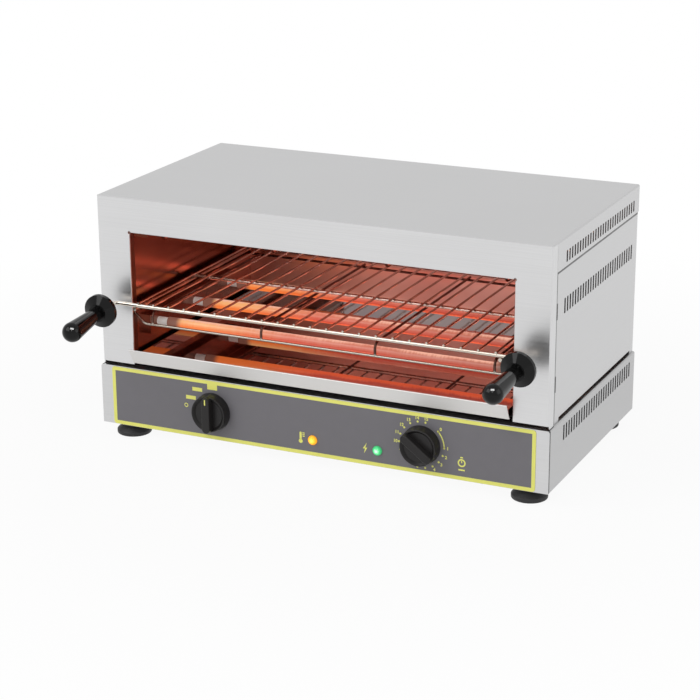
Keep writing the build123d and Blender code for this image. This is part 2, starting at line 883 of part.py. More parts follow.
def crumb_tray():
    lip_half = opening_half - tray_lip_side_gap
    foot_y = front_y - tray_lip_foot
    back = rear_inner - tray_back_gap
    wall_y = frame_y
    floor_top = tray_under + tray_sheet
    angle = math.atan2(tray_lip_rise, tray_lip_out)
    inner_shift = tray_sheet * math.tan(angle / 2)
    lip_y = foot_y - tray_lip_out
    lip_z = tray_under + tray_lip_rise
    inner_lip = (lip_y + tray_sheet * math.sin(angle), lip_z + tray_sheet * math.cos(angle))
    profile = Polyline((wall_y, tray_under), (foot_y, tray_under), (lip_y, lip_z), inner_lip,
                       (foot_y + inner_shift, floor_top), (wall_y, floor_top), close=True)
    lip = extrude(make_face(Plane.YZ * profile), lip_half, both=True)
    pan = block((-tray_half, wall_y, tray_under), (tray_half, back, tray_under + tray_wall_height))
    pan -= block((-tray_half + tray_sheet, wall_y - cut_over, floor_top),
                 (tray_half - tray_sheet, back - tray_sheet, tray_under + tray_wall_height + cut_over))
    bead_y = (lip_y + inner_lip[0]) / 2
    bead_z = (lip_z + inner_lip[1]) / 2
    bead = rod((-lip_half, bead_y, bead_z), (lip_half, bead_y, bead_z), tray_bead)
    return pan + lip + bead


def main():
    os.makedirs("parts", exist_ok=True)
    write("base_casing", base_casing())
    write("base_front_panel", base_front_panel())
    write("control_overlay", control_overlay())
    write("bottom_plate", bottom_plate())
    for name, (x, y) in foot_places().items():
        write(name, foot(x, y))
    write("foot_screws", Compound([foot_screw(x, y) for x, y in foot_places().values()]))
    write("foot_nuts", Compound([foot_nut(x, y) for x, y in foot_places().values()]))
    write("bottom_screws", Compound(bottom_screws()))
    write("deck_plate", deck_plate())
    write("front_frame", front_frame())
    write("top_cover", top_cover())
    write("rear_panel", rear_panel())
    write("rear_screws", Compound(rear_screws()))
    write("ceiling_reflector", ceiling_reflector())
    pairs = {"side_panel": side_panel(), "side_liner": side_liner(), "rack_rail": rack_rail(),
             "tray_runner": tray_runner()}
    for bank, z in (("lower", lower_tube_z), ("upper", upper_tube_z)):
        pairs[bank + "_carrier"] = tube_carrier(z)
        plugs = []
        coils = []
        for place, y in tube_places().items():
            write(bank + "_tube_" + place, quartz_tube(y, z))
            plugs.extend(both_sides(tube_plug(y, z)))
            coils.append(heater_coil(y, z))
        write(bank + "_tube_plugs", Compound(plugs))
        write(bank + "_heater_coils", Compound(coils))
    for name, right in pairs.items():
        pair = both_sides(right)
        write(name + "_right", pair[0])
        write(name + "_left", pair[1])
    write("lower_tube_guard", lower_tube_guard())
    write("upper_tube_guard", upper_tube_guard())
    selector_x = -knob_x
    timer_x = knob_x
    write("selector_switch", control_body(selector_x, switch_width, switch_height, switch_depth))
    write("timer_unit", control_body(timer_x, timer_width, timer_height, timer_depth))
    write("selector_knob", knob(selector_x, 0))
    write("timer_knob", knob(timer_x, timer_set_angle))
    write("selector_shaft", shaft(selector_x))
    write("timer_shaft", shaft(timer_x))
    write("amber_lens", lamp_lens(amber_place))
    write("green_lens", lamp_lens(green_place))
    write("lamp_holders", Compound([lamp_holder(amber_place), lamp_holder(green_place)]))
    write("cable_gland", cable_gland())
    write("gland_nut", gland_nut())
    write("terminal_block", terminal_block())
    write("rack_grid", rack_grid())
    write("rack_handle_bar", rack_handle_bar())
    write("handle_left", handle(-1))
    write("handle_right", handle(1))
    write("crumb_tray", crumb_tray())


main()
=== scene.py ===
"""Looks of an open-front salamander grill: finishes, printed panel, glowing tubes and a plain studio."""

import math

import bmesh
import bpy
from bpy.props import FloatProperty, FloatVectorProperty, PointerProperty
from bpy.types import Operator, Panel, PropertyGroup
from mathutils import Matrix, Vector


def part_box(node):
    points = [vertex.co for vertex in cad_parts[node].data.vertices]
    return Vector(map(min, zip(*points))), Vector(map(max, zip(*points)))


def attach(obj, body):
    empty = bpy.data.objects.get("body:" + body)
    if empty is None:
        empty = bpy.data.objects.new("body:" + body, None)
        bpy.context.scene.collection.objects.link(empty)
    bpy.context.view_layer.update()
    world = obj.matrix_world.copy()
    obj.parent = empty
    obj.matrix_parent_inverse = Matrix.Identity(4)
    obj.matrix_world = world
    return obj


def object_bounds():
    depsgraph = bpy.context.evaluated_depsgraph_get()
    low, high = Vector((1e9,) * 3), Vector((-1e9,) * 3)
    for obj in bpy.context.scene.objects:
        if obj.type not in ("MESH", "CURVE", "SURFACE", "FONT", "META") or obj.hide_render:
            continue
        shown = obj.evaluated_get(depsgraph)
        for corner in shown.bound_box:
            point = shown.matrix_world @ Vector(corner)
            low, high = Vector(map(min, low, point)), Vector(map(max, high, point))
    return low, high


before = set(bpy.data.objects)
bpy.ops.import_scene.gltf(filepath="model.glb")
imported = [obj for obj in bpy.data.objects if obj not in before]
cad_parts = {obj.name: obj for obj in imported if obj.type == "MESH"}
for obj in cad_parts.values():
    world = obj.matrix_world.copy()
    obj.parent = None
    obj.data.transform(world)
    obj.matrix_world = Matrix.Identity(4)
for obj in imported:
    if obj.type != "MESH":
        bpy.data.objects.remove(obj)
CAD_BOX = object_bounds()

bl_info = {
    "name": "Salamander grill",
    "version": (1, 0, 0),
    "blender": (4, 5, 0),
    "location": "View3D > Sidebar > Grill",
    "description": "Finishes, printed panel, glowing tubes and studio of an open-front salamander grill",
    "category": "Object",
}

X_AXIS, Y_AXIS, Z_AXIS = 0, 1, 2
SIDES = ("left", "right")
TUBE_PLACES = ("front", "middle", "rear")
LAMPS = ("key", "fill", "spot", "glint")
QUARTER_TURN, FULL_TURN = 90.0, 360.0

# Plain white with its opacity, and the width of the camera's sensor in millimetres
WHITE = (1.0, 1.0, 1.0, 1.0)
SENSOR_WIDTH = 36.0

# Rays from the camera, and rays that gloss and glass send on
SEEN = ("Is Camera Ray",)
MIRRORED = ("Is Glossy Ray", "Is Transmission Ray")

# Sockets of the Mix node when it mixes colours
MIX_FACTOR, MIX_FIRST, MIX_SECOND, MIX_RESULT = 0, 6, 7, 2

# The stretch of a noise pattern that is used, without its rare ends
NOISE_LOW, NOISE_HIGH = 0.3, 0.7

# Brush lines in a metre, across the brushing and along it, and how uneven the shine of moulded things is
LINES_ACROSS, LINES_ALONG = 2600.0, 8.0
SHINE_SHARE = 0.12

# Full shade beside a joint and round a window, over how far the shade reaches
JOINT_CORE_SHARE, WINDOW_CORE_SHARE = 0.75, 0.9

# Soft edge of a window, of a lip and of a temper colour, and the depth of a sheet's inner skin
WINDOW_EDGE, LIP_EDGE, TEMPER_EDGE, SKIN = 0.0005, 0.003, 0.002, 0.0004

# Where the browning of the mouth's folds starts and is full: behind the front, and beside the mouth
FOLD_START, FOLD_FULL = 0.0015, 0.003
MOUTH_START, MOUTH_FULL = 0.003, 0.002

# Where the tones change along a tube, and where each takes over from the one below it
LIT_SHARES = (0.028, 0.045, 0.12, 0.36, 0.955, 0.972)
RISE_SHARES = ((0.12, 0.30), (0.38, 0.76), (0.86, 1.04))

# Reach of the light in a lens over the lens's width
LENS_REACH_SHARE = 0.62

# Scale of the timer, in degrees clockwise from the top, and its minutes with a dot and no number
TIMER_ZERO, TIMER_FIRST, TIMER_STEP = 47.0, 90.0, 20.0
TIMER_MINUTES = 15
UNNUMBERED = (6, 7, 8, 9)

# Bars and off mark of the selector, in degrees clockwise from the top
BAR_CLOCKS = (295.0, 321.0)
OFF_CLOCK = 275.0

# The off mark's ring over a bar's height: how much further out it stands, its outside and its inside
OFF_SHARES = (0.8, 0.55, 0.36)

# Height of a figure over the size that the built-in face is set to, and extra stroke over its height
FIGURE_HEIGHT_SHARE, FIGURE_STROKE_SHARE = 0.72, 0.045

# Marks beside the thermometer, and the outline of the flash, across and up, over the symbol's height
LEVEL_SHARES = (0.12, 0.27, 0.42)
FLASH_SHARES = ((-0.10, -0.50), (0.22, 0.06), (0.02, 0.04), (0.16, 0.50), (-0.20, -0.06), (0.00, -0.04))

# Steps round a circle and round a corner of the printed shapes
CIRCLE_STEPS, CORNER_STEPS = 24, 6

# Width of the floor, how far it lies under the feet, and where the shadow starts to fade and is gone
FLOOR_WIDTH, FLOOR_DROP = 10.0, 0.0002
SHADOW_NEAR, SHADOW_FAR = 0.42, 1.1


def colour(name, words, default):
    """A colour that a user may change."""
    return FloatVectorProperty(name=name, description=words, default=default,
                               subtype="COLOR", size=3, min=0.0, max=1.0)


def distance(name, words, default):
    """A length that a user may change, in metres."""
    return FloatProperty(name=name, description=words, default=default,
                         subtype="DISTANCE", unit="LENGTH")


def place(name, words, default):
    """A point that a user may change, in metres."""
    return FloatVectorProperty(name=name, description=words, default=default,
                               subtype="TRANSLATION", unit="LENGTH", size=3)


def extent(name, words, default):
    """The width and height of a rectangle, in metres."""
    return FloatVectorProperty(name=name, description=words, default=default, unit="LENGTH", size=2)


def angle(name, words, degrees):
    """An angle that a user may change, written in degrees."""
    return FloatProperty(name=name, description=words, default=math.radians(degrees),
                         subtype="ANGLE", unit="ROTATION")


def power(name, words, default):
    """The power of a lamp, in watts."""
    return FloatProperty(name=name, description=words, default=default,
                         subtype="POWER", unit="POWER", min=0.0)


def share(name, words, default):
    """A plain share or strength."""
    return FloatProperty(name=name, description=words, default=default, subtype="FACTOR",
                         min=0.0, max=10.0)


class GrillStageSettings(PropertyGroup):
    """Camera, floor and lamps."""

    view_azimuth: angle("View azimuth", "How far the camera stands to the right of straight ahead", 25.138)
    view_elevation: angle("View elevation", "How far the camera looks down", 18.326)
    view_roll: angle("View roll", "Turn of the camera about its own line of sight", -0.341)
    view_distance: distance("View distance", "From the camera to the point it looks at", 2.791)
    view_target: place("View target", "Point in the middle of the picture", (-0.03005, 0.05458, 0.10706))
    lens: FloatProperty(name="Lens", description="Focal length on a 36 mm sensor", default=105.2,
                        subtype="DISTANCE_CAMERA", unit="CAMERA")
    room_light: share("Room light", "Strength of the even light from all round", 0.5)
    mirrored_room: share("Mirrored room", "Whiteness of the room as metal and glass mirror it", 0.86)
    key_place: place("Key lamp", "Place of the large soft lamp at the front left", (-1.3, -1.7, 1.7))
    key_size: extent("Key size", "Width and height of the key lamp", (1.8, 1.4))
    key_power: power("Key power", "Light of the key lamp", 22.0)
    fill_place: place("Fill lamp", "Place of the large soft lamp at the right", (2.0, -0.3, 1.1))
    fill_size: extent("Fill size", "Width and height of the fill lamp", (1.4, 1.4))
    fill_power: power("Fill power", "Light of the fill lamp", 8.0)
    spot_place: place("Spot lamp", "Place of the small lamp that glossy things mirror", (0.53, -1.98, 1.43))
    spot_size: extent("Spot size", "Width and height of the spot lamp", (0.26, 0.14))
    spot_power: power("Spot power", "Light of the spot lamp", 5.0)
    glint_place: place("Glint lamp", "Place of the lamp that only the grips mirror", (0.38, -1.42, 2.17))
    glint_size: extent("Glint size", "Width and height of the glint lamp", (1.5, 0.8))
    glint_power: power("Glint power", "Light of the glint lamp", 150.0)
    floor_colour: colour("Floor", "Colour of the pale floor", (0.82, 0.82, 0.82))
    floor_glow: share("Floor whiteness", "Share of plain white in the floor beside the grill", 0.92)


class GrillFinishSettings(PropertyGroup):
    """Colours of the finishes."""

    steel: colour("Steel", "Brushed stainless sheet", (0.632, 0.632, 0.636))
    # Painted shade beside the joints: the shadow under the top's flange and along the seams.
    joint: colour("Joint", "Shaded sheet beside a joint", (0.10, 0.10, 0.10))
    # Painted deep shade round the tab windows, reaching past the windows themselves.
    window: colour("Window", "Sheet round the dark tab windows of the sides", (0.012, 0.012, 0.012))
    liner: colour("Liner", "Heat-browned steel inside", (0.36, 0.17, 0.125))
    liner_dark: colour("Liner, darker", "The most browned patches inside", (0.24, 0.10, 0.07))
    rear_wall: colour("Rear wall", "Heat-browned inner face of the back", (0.94, 0.62, 0.53))
    rear_wall_dark: colour("Rear wall, darker", "Its most browned patches", (0.74, 0.33, 0.26))
    # Painted shade: the sheet is drawn near black so that the gap under the housing reads dark.
    deck: colour("Deck", "Blackened sheet under the tray", (0.022, 0.020, 0.020))
    tray: colour("Tray", "Polished floor of the tray", (0.56, 0.49, 0.47))
    tray_temper: colour("Tray, tempered", "Temper colour of the tray's floor", (0.46, 0.39, 0.39))
    tray_lip: colour("Tray lip", "Clean satin lip of the tray", (0.74, 0.73, 0.72))
    wire: colour("Wire", "Bright wire at the front", (0.60, 0.55, 0.49))
    wire_straw: colour("Wire, tempered", "Straw temper colour of the wire", (0.52, 0.43, 0.36))
    wire_warm: colour("Wire, warm", "Rack wire inside the hot space", (0.64, 0.52, 0.46))
    wire_brown: colour("Wire, browned", "Guard wire that is always hot", (0.13, 0.065, 0.05))
    film: colour("Film", "Printed film of the control panel", (0.162, 0.156, 0.170))
    ink: colour("Ink", "Yellow print on the film", (0.86, 0.85, 0.19))
    knob: colour("Knob", "Moulded knobs", (0.016, 0.0145, 0.0145))
    grip: colour("Grip", "Glossy handles", (0.003, 0.003, 0.003))
    rubber: colour("Rubber", "Feet", (0.011, 0.011, 0.012))
    zinc: colour("Zinc", "Plated screws and nuts", (0.58, 0.58, 0.60))
    ceramic: colour("Ceramic", "Ends of the tubes", (0.90, 0.88, 0.84))
    housing: colour("Housing", "Switches and holders behind the panel", (0.075, 0.075, 0.080))
    nylon: colour("Nylon", "Cable gland", (0.020, 0.020, 0.021))
    amber: colour("Amber", "Lit amber lens", (1.0, 0.42, 0.02))
    amber_core: colour("Amber, core", "Middle of the amber lens", (1.0, 0.80, 0.12))
    green: colour("Green", "Lit green lens", (0.05, 0.50, 0.17))
    green_core: colour("Green, core", "Middle of the green lens", (0.55, 0.95, 0.62))


class GrillSheetSettings(PropertyGroup):
    """How light each sheet is drawn beside plain steel, as painted light and shade, and the painted shade
    at the joints and round the tab windows.
    """

    # Painted light and shade: the front is drawn lighter than plain steel, and the top, sides and base
    # darker.
    top_polish: share("Top polish", "Lightness of the top beside plain steel", 0.97)
    front_polish: share("Front polish", "Lightness of the front frame beside plain steel", 1.07)
    side_polish: share("Side polish", "Lightness of the side panels beside plain steel", 0.96)
    base_polish: share("Base polish", "Lightness of the base's sides beside plain steel", 0.80)
    guard_polish: share("Guard polish", "Lightness of the guards beside the rack's wire", 0.68)
    flange_shade: distance("Flange shade", "How far the sides are shaded under the top's flange", 0.0042)
    frame_shade: distance("Frame shade", "How far the sides are shaded behind the front frame", 0.0065)
    panel_shade: distance("Panel shade", "How far the base is shaded behind its front panel", 0.0035)
    # The painted shade round the tab windows reaches this far behind the frame.
    window_reach: distance("Window reach", "How far the tab windows reach behind the frame", 0.0085)
    window_height: distance("Window height", "Height of each tab window", 0.0215)
    upper_window: distance("Upper window", "From the top's flange down to its lower end", 0.062)
    lower_window: distance("Lower window", "From the base up to its lower end", 0.0415)
    guard_wire: distance("Guard wire", "Thickness of a guard's wire", 0.0035)
    lip_reach: distance("Lip reach", "How far the tray's lip leans out", 0.0115)


class GrillHeatSettings(PropertyGroup):
    """Glow of the quartz tubes and the indicator lamps."""

    glow_left: colour("Glow, left", "Upper side of a tube, left end", (0.88, 0.42, 0.16))
    glow: colour("Glow", "Upper side of a tube, middle", (0.66, 0.185, 0.12))
    glow_right: colour("Glow, right", "Upper side of a tube, right end", (0.42, 0.125, 0.085))
    bottom: colour("Bottom", "Lowest line of a tube, which the tray mirrors", (1.0, 0.15, 0.06))
    # Painted highlight along the top line of each tube.
    crown: colour("Crown", "Top line of a tube", (0.84, 0.46, 0.34))
    # The underside tones are painted shade on the lower side of each tube.
    under_left: colour("Underside, left", "Lower side of a tube, left end", (0.92, 0.20, 0.04))
    under: colour("Underside", "Lower side of a tube, middle", (0.60, 0.065, 0.035))
    under_right: colour("Underside, right", "Lower side of a tube, right end", (0.42, 0.05, 0.03))
    unlit: colour("Unlit end", "Clear quartz past the ends of the coil", (0.16, 0.07, 0.05))
    lower_glow: share("Lower glow", "Brightness of the lower tubes themselves", 0.95)
    upper_glow: share("Upper glow", "Brightness of the upper tubes themselves", 0.20)
    # Painted light: the ceramic ends are given a faint glow of their own so that they stand out light in
    # the dark inside.
    ceramic_glow: share("Ceramic glow", "Brightness of the hot ceramic ends", 0.16)
    lens_glow: share("Lens glow", "Brightness of the lit lenses", 0.95)
    heat_light: colour("Heat light", "Colour that the tubes throw on the walls", (1.0, 0.22, 0.13))
    lower_power: power("Lower row", "Light from each lower tube", 0.055)
    upper_power: power("Upper row", "Light from each upper tube", 0.05)


class GrillPrintSettings(PropertyGroup):
    """Print on the control panel and on the selector."""

    ink_rise: distance("Ink rise", "Thickness of the print", 0.00006)
    border_width: distance("Border", "Width of the line round the panel", 0.0050)
    border_corner: distance("Border corner", "Outer corner radius of that line", 0.004)
    dot_ring: distance("Dot ring", "Radius of the timer's ring of dots", 0.0310)
    dot_radius: distance("Dot", "Radius of each dot, and width of the arc at zero", 0.0014)
    number_ring: distance("Number ring", "Radius on which the numbers stand", 0.0359)
    number_height: distance("Number height", "Height of the numbers", 0.0042)
    mark_ring: distance("Mark ring", "Radius of the selector's bars", 0.0358)
    bar_width: distance("Bar width", "Width of the selector's bars", 0.0148)
    bar_height: distance("Bar height", "Height of the selector's bars", 0.0052)
    block_height: distance("Block height", "Height of the block over the selector", 0.0074)
    symbol_height: distance("Symbols", "Height of the symbols beside the lamps", 0.0150)
    symbol_gap: distance("Symbol gap", "From a lamp's middle to its symbol", 0.0175)
    clock_gap: distance("Clock gap", "From the timer's middle to the clock", 0.055)
    pointer_width: distance("Pointer width", "Width of the selector's pointer line", 0.0016)
    pointer_length: distance("Pointer length", "Length of the selector's pointer line", 0.0075)
    pointer_gap: distance("Pointer gap", "From the knob's rim to the pointer line", 0.0030)


class Finish:
    """A material being put together: one surface shader and the patterns that vary it."""

    def __init__(self, name, **constants):
        self.material = bpy.data.materials.new(name)
        self.material.use_nodes = True
        self.tree = self.material.node_tree
        self.surface = self.tree.nodes["Principled BSDF"]
        self.place = self.node("ShaderNodeTexCoord").outputs["Object"]
        for socket, value in constants.items():
            self.surface.inputs[socket.replace("_", " ")].default_value = value

    def node(self, kind, **settings):
        """A new node with its settings."""
        made = self.tree.nodes.new(kind)
        for setting, value in settings.items():
            setattr(made, setting, value)
        return made

    def join(self, source, target):
        self.tree.links.new(source, target)

    def noise(self, per_metre, detail=3.0):
        """Cloudy pattern with so many features in a metre along X, Y and Z."""
        mapping = self.node("ShaderNodeMapping")
        mapping.inputs["Scale"].default_value = per_metre
        self.join(self.place, mapping.inputs["Vector"])
        noise = self.node("ShaderNodeTexNoise")
        noise.inputs["Scale"].default_value = 1.0
        noise.inputs["Detail"].default_value = detail
        self.join(mapping.outputs["Vector"], noise.inputs["Vector"])
        return noise.outputs[0]

    def cloud(self, per_metre, detail=3.0):
        """Cloudy pattern that is alike in every direction."""
        return self.noise((per_metre,) * 3, detail)

    def coordinate(self, axis):
        """Place along one axis of the shared frame."""
        parts = self.node("ShaderNodeSeparateXYZ")
        self.join(self.place, parts.inputs[0])
        return parts.outputs[axis]

    def along(self, axis, start, end):
        """Runs from 0 to 1 between two places on an axis."""
        return self.spread(self.coordinate(axis), start=start, end=end)

    def off_centre(self, axis, start, end):
        """Runs from 0 to 1 between two distances to either side of the middle."""
        size = self.node("ShaderNodeMath", operation="ABSOLUTE")
        self.join(self.coordinate(axis), size.inputs[0])
        return self.spread(size.outputs[0], start=start, end=end)

    def away_from(self, centre, reach):
        """Runs from 0 at a point to 1 at a distance from it."""
        gap = self.node("ShaderNodeVectorMath", operation="DISTANCE")
        self.join(self.place, gap.inputs[0])
        gap.inputs[1].default_value = centre
        return self.spread(gap.outputs["Value"], start=0.0, end=reach)

    def spread(self, pattern, low=0.0, high=1.0, start=NOISE_LOW, end=NOISE_HIGH):
        """Stretches a pattern to run from low to high."""
        scaled = self.node("ShaderNodeMapRange")
        limits = {"From Min": start, "From Max": end, "To Min": low, "To Max": high}
        for socket, value in limits.items():
            scaled.inputs[socket].default_value = value
        self.join(pattern, scaled.inputs["Value"])
        return scaled.outputs["Result"]

    def pair(self, operation, first, second):
        """Two patterns put together by a sum or another operation."""
        joined = self.node("ShaderNodeMath", operation=operation)
        self.join(first, joined.inputs[0])
        self.join(second, joined.inputs[1])
        return joined.outputs[0]

    def sum(self, first, second):
        """Two patterns added up."""
        return self.pair("ADD", first, second)

    def overlap(self, first, second):
        """1 only where two masks are both 1."""
        return self.pair("MULTIPLY", first, second)

    def tint(self, pattern, *tones):
        """Colours a pattern, with evenly spaced colours from 0 to 1."""
        last = len(tones) - 1
        return self.tint_at(pattern, [(index / last, tone) for index, tone in enumerate(tones)])

    def tint_at(self, pattern, stops):
        """Colours a pattern, with each colour at a place of its own."""
        ramp = self.node("ShaderNodeValToRGB")
        marks = ramp.color_ramp.elements
        while len(marks) < len(stops):
            marks.new(1.0)
        for mark, (where, tone) in zip(marks, stops):
            mark.position = where
            mark.color = (*tone, 1.0)
        self.join(pattern, ramp.inputs["Fac"])
        return ramp.outputs["Color"]

    def either(self, mask, where_no, where_yes):
        """One colour pattern where a mask is 0 and another where it is 1."""
        mix = self.node("ShaderNodeMix", data_type="RGBA")
        self.join(mask, mix.inputs[MIX_FACTOR])
        self.join(where_no, mix.inputs[MIX_FIRST])
        self.join(where_yes, mix.inputs[MIX_SECOND])
        return mix.outputs[MIX_RESULT]

    def drive(self, socket, pattern):
        """Lets a pattern set one of the surface's values."""
        self.join(pattern, self.surface.inputs[socket])

    def recolour(self, mask, pattern):
        """Puts another colour pattern where a mask is 1."""
        before = self.surface.inputs["Base Color"].links[0].from_socket
        self.drive("Base Color", self.either(mask, before, pattern))

    def bump(self, pattern, height):
        """Raises the surface by a pattern, by so many metres at most."""
        bump = self.node("ShaderNodeBump")
        bump.inputs["Strength"].default_value = 1.0
        bump.inputs["Distance"].default_value = height
        self.join(pattern, bump.inputs["Height"])
        self.join(bump.outputs["Normal"], self.surface.inputs["Normal"])


def shaded(tone, factor):
    """A colour made lighter or darker."""
    return tuple(min(1.0, part * factor) for part in tone)


def around(tone, unevenness):
    """A colour made darker and lighter by the same share."""
    return shaded(tone, 1.0 - unevenness), shaded(tone, 1.0 + unevenness)


def brushed_steel(name, finishes, grain, lightness=1.0):
    """Stainless sheet with brush lines along one axis and faint handling marks."""
    steel = Finish(name, Metallic=1.0)
    per_metre = [LINES_ACROSS] * 3
    per_metre[grain] = LINES_ALONG
    lines = steel.noise(per_metre)
    handling = steel.cloud(per_metre=5.0, detail=4.0)
    tone = steel.spread(steel.sum(lines, steel.spread(handling, low=-0.10, high=0.10)))
    # On the casing this lightness is painted light and shade: the front is drawn lighter, and the top,
    # sides and base darker than plain steel.
    darker, lighter = around(shaded(finishes.steel, lightness), unevenness=0.04)
    steel.drive("Base Color", steel.tint(tone, darker, lighter))
    line_shine = steel.spread(lines, low=0.29, high=0.37)
    steel.drive("Roughness", steel.sum(line_shine, steel.spread(handling, low=0.0, high=0.04)))
    steel.bump(lines, height=0.000002)
    return steel


def jointed_steel(name, finishes, grain, joints, lightness):
    """Brushed sheet with painted shade where it dips under another: (axis, edge, how far the shade
    reaches).
    """
    steel = brushed_steel(name, finishes, grain, lightness)
    shade_mottle = steel.spread(steel.cloud(per_metre=40.0))
    seam_shade = steel.tint(shade_mottle, *around(finishes.joint, unevenness=0.3))
    # Painted shade, mottled a little, beside each joint.
    for axis, edge, reach in joints:
        steel.recolour(steel.along(axis, edge + reach, edge + reach * JOINT_CORE_SHARE), seam_shade)
    return steel


def darken_windows(steel, finishes, edge, reach, lows, height):
    """Painted deep shade round the tab windows beside an upright joint, reaching further than the windows
    themselves.
    """
    near = steel.along(Y_AXIS, edge + reach, edge + reach * WINDOW_CORE_SHARE)
    shade_mottle = steel.spread(steel.cloud(per_metre=90.0, detail=2.0))
    shade = steel.tint(shade_mottle, shaded(finishes.window, factor=0.6), finishes.window)
    for low in lows:
        high = low + height
        above = steel.along(Z_AXIS, low, low + WINDOW_EDGE)
        below = steel.along(Z_AXIS, high, high - WINDOW_EDGE)
        steel.recolour(steel.overlap(near, steel.overlap(above, below)), shade)


def heat_browned(steel, dark, light):
    """Colour pattern of sheet that has been hot for years."""
    clouds = steel.noise(per_metre=(6.0, 6.0, 9.0), detail=5.0)
    return steel.tint(steel.spread(clouds), dark, light)


def mouth_steel(name, finishes, lightness, front, mouth_half):
    """Front frame: brushed outside, heat-browned on the folds round the mouth."""
    steel = brushed_steel(name, finishes, X_AXIS, lightness)
    is_behind = steel.along(Y_AXIS, front + FOLD_START, front + FOLD_FULL)
    is_between = steel.off_centre(X_AXIS, mouth_half + MOUTH_START, mouth_half + MOUTH_FULL)
    dark, light = shaded(finishes.liner_dark, factor=0.5), shaded(finishes.liner, factor=0.5)
    steel.recolour(steel.overlap(is_behind, is_between), heat_browned(steel, dark, light))
    return steel


def liner_steel(name, finishes):
    """Inner walls: heat-browned steel that mirrors the tubes softly."""
    liner = Finish(name, Metallic=1.0)
    liner.drive("Base Color", heat_browned(liner, finishes.liner_dark, finishes.liner))
    waves = liner.cloud(per_metre=9.0, detail=2.0)
    liner.drive("Roughness", liner.spread(waves, low=0.15, high=0.24))
    liner.bump(waves, height=0.0004)
    return liner


def blackened_steel(name, finishes):
    """Sheet under the tray, dull and near black: painted shade that keeps the gap under the housing dark.
    """
    deck = Finish(name)
    deck_mottle = deck.cloud(per_metre=90.0, detail=5.0)
    tone = deck.tint(deck.spread(deck_mottle), shaded(finishes.deck, factor=0.5), finishes.deck)
    deck.drive("Base Color", tone)
    deck.drive("Roughness", deck.spread(deck_mottle, low=0.55, high=0.8))
    return deck


def rear_wall_steel(name, finishes, inner_face):
    """Back sheet: brushed steel outside, heat-browned on its inner face, softly mottled in its shine."""
    wall = brushed_steel(name, finishes, X_AXIS)
    is_inside = wall.along(Y_AXIS, inner_face + SKIN, inner_face)
    wall.recolour(is_inside, heat_browned(wall, finishes.rear_wall_dark, finishes.rear_wall))
    wall.drive("Roughness", wall.spread(wall.cloud(per_metre=14.0), low=0.30, high=0.40))
    return wall


def polished_tray(name, finishes, lip_end):
    """Pan with a mirror floor that the heat has tempered and a clean satin lip at its front."""
    tray = Finish(name, Metallic=1.0)
    is_floor = tray.along(Y_AXIS, lip_end, lip_end + LIP_EDGE)
    clouds = tray.spread(tray.noise(per_metre=(7.0, 9.0, 9.0), detail=4.0))
    lip = tray.tint(clouds, shaded(finishes.tray_lip, factor=0.98), finishes.tray_lip)
    floor = tray.tint(clouds, finishes.tray, finishes.tray_temper)
    tray.drive("Base Color", tray.either(is_floor, lip, floor))
    scratches = tray.noise(per_metre=(12.0, 900.0, 900.0), detail=2.0)
    lip_shine = tray.spread(is_floor, low=0.52, high=0.0, start=0.0, end=1.0)
    tray.drive("Roughness", tray.sum(lip_shine, tray.spread(scratches, low=0.01, high=0.04)))
    tray.bump(clouds, height=0.00002)
    return tray


def bright_wire(name, finishes, lightness=1.0):
    """Plated wire, straw-coloured where it gets hot."""
    wire = Finish(name, Metallic=1.0)
    clouds = wire.spread(wire.cloud(per_metre=9.0))
    bright, straw = shaded(finishes.wire, lightness), shaded(finishes.wire_straw, lightness)
    wire.drive("Base Color", wire.tint(clouds, bright, straw))
    draw_marks = wire.cloud(per_metre=300.0, detail=2.0)
    wire.drive("Roughness", wire.spread(draw_marks, low=0.14, high=0.26))
    wire.bump(draw_marks, height=0.00001)
    return wire


def hot_wire(name, finishes, tone, axis, edge, lightness=1.0):
    """Wire that is clean up to an edge and browned past it, where it is always hot."""
    wire = bright_wire(name, finishes, lightness)
    clouds = wire.spread(wire.cloud(per_metre=30.0))
    browned = wire.tint(clouds, shaded(tone, factor=0.7), tone)
    wire.recolour(wire.along(axis, edge, edge + TEMPER_EDGE), browned)
    return wire


def moulded(name, tone, grain, roughness, depth, unevenness=0.12, **constants):
    """Moulded plastic, rubber or ceramic: a faint grain and a little unevenness in colour and shine."""
    plastic = Finish(name, **constants)
    grain_pattern = plastic.cloud(per_metre=grain, detail=2.0)
    clouds = plastic.cloud(per_metre=60.0)
    plastic.drive("Base Color", plastic.tint(plastic.spread(clouds), *around(tone, unevenness)))
    duller, glossier = roughness * (1.0 + SHINE_SHARE), roughness * (1.0 - SHINE_SHARE)
    plastic.drive("Roughness", plastic.spread(clouds, low=glossier, high=duller))
    plastic.bump(grain_pattern, height=depth)
    return plastic


def plated(name, finishes):
    """Zinc-plated fastener."""
    zinc = Finish(name, Metallic=1.0)
    clouds = zinc.cloud(per_metre=180.0)
    darker, lighter = shaded(finishes.zinc, factor=0.85), shaded(finishes.zinc, factor=1.12)
    zinc.drive("Base Color", zinc.tint(zinc.spread(clouds), darker, lighter))
    zinc.drive("Roughness", zinc.spread(clouds, low=0.26, high=0.42))
    return zinc


def lit_run(quartz, run, unlit, lit):
    """Colours along a tube: unlit ends, and three tones from left to right between them."""
    left, centre, right = lit
    return quartz.tint_at(run, list(zip(LIT_SHARES, (unlit, left, left, centre, right, unlit))))


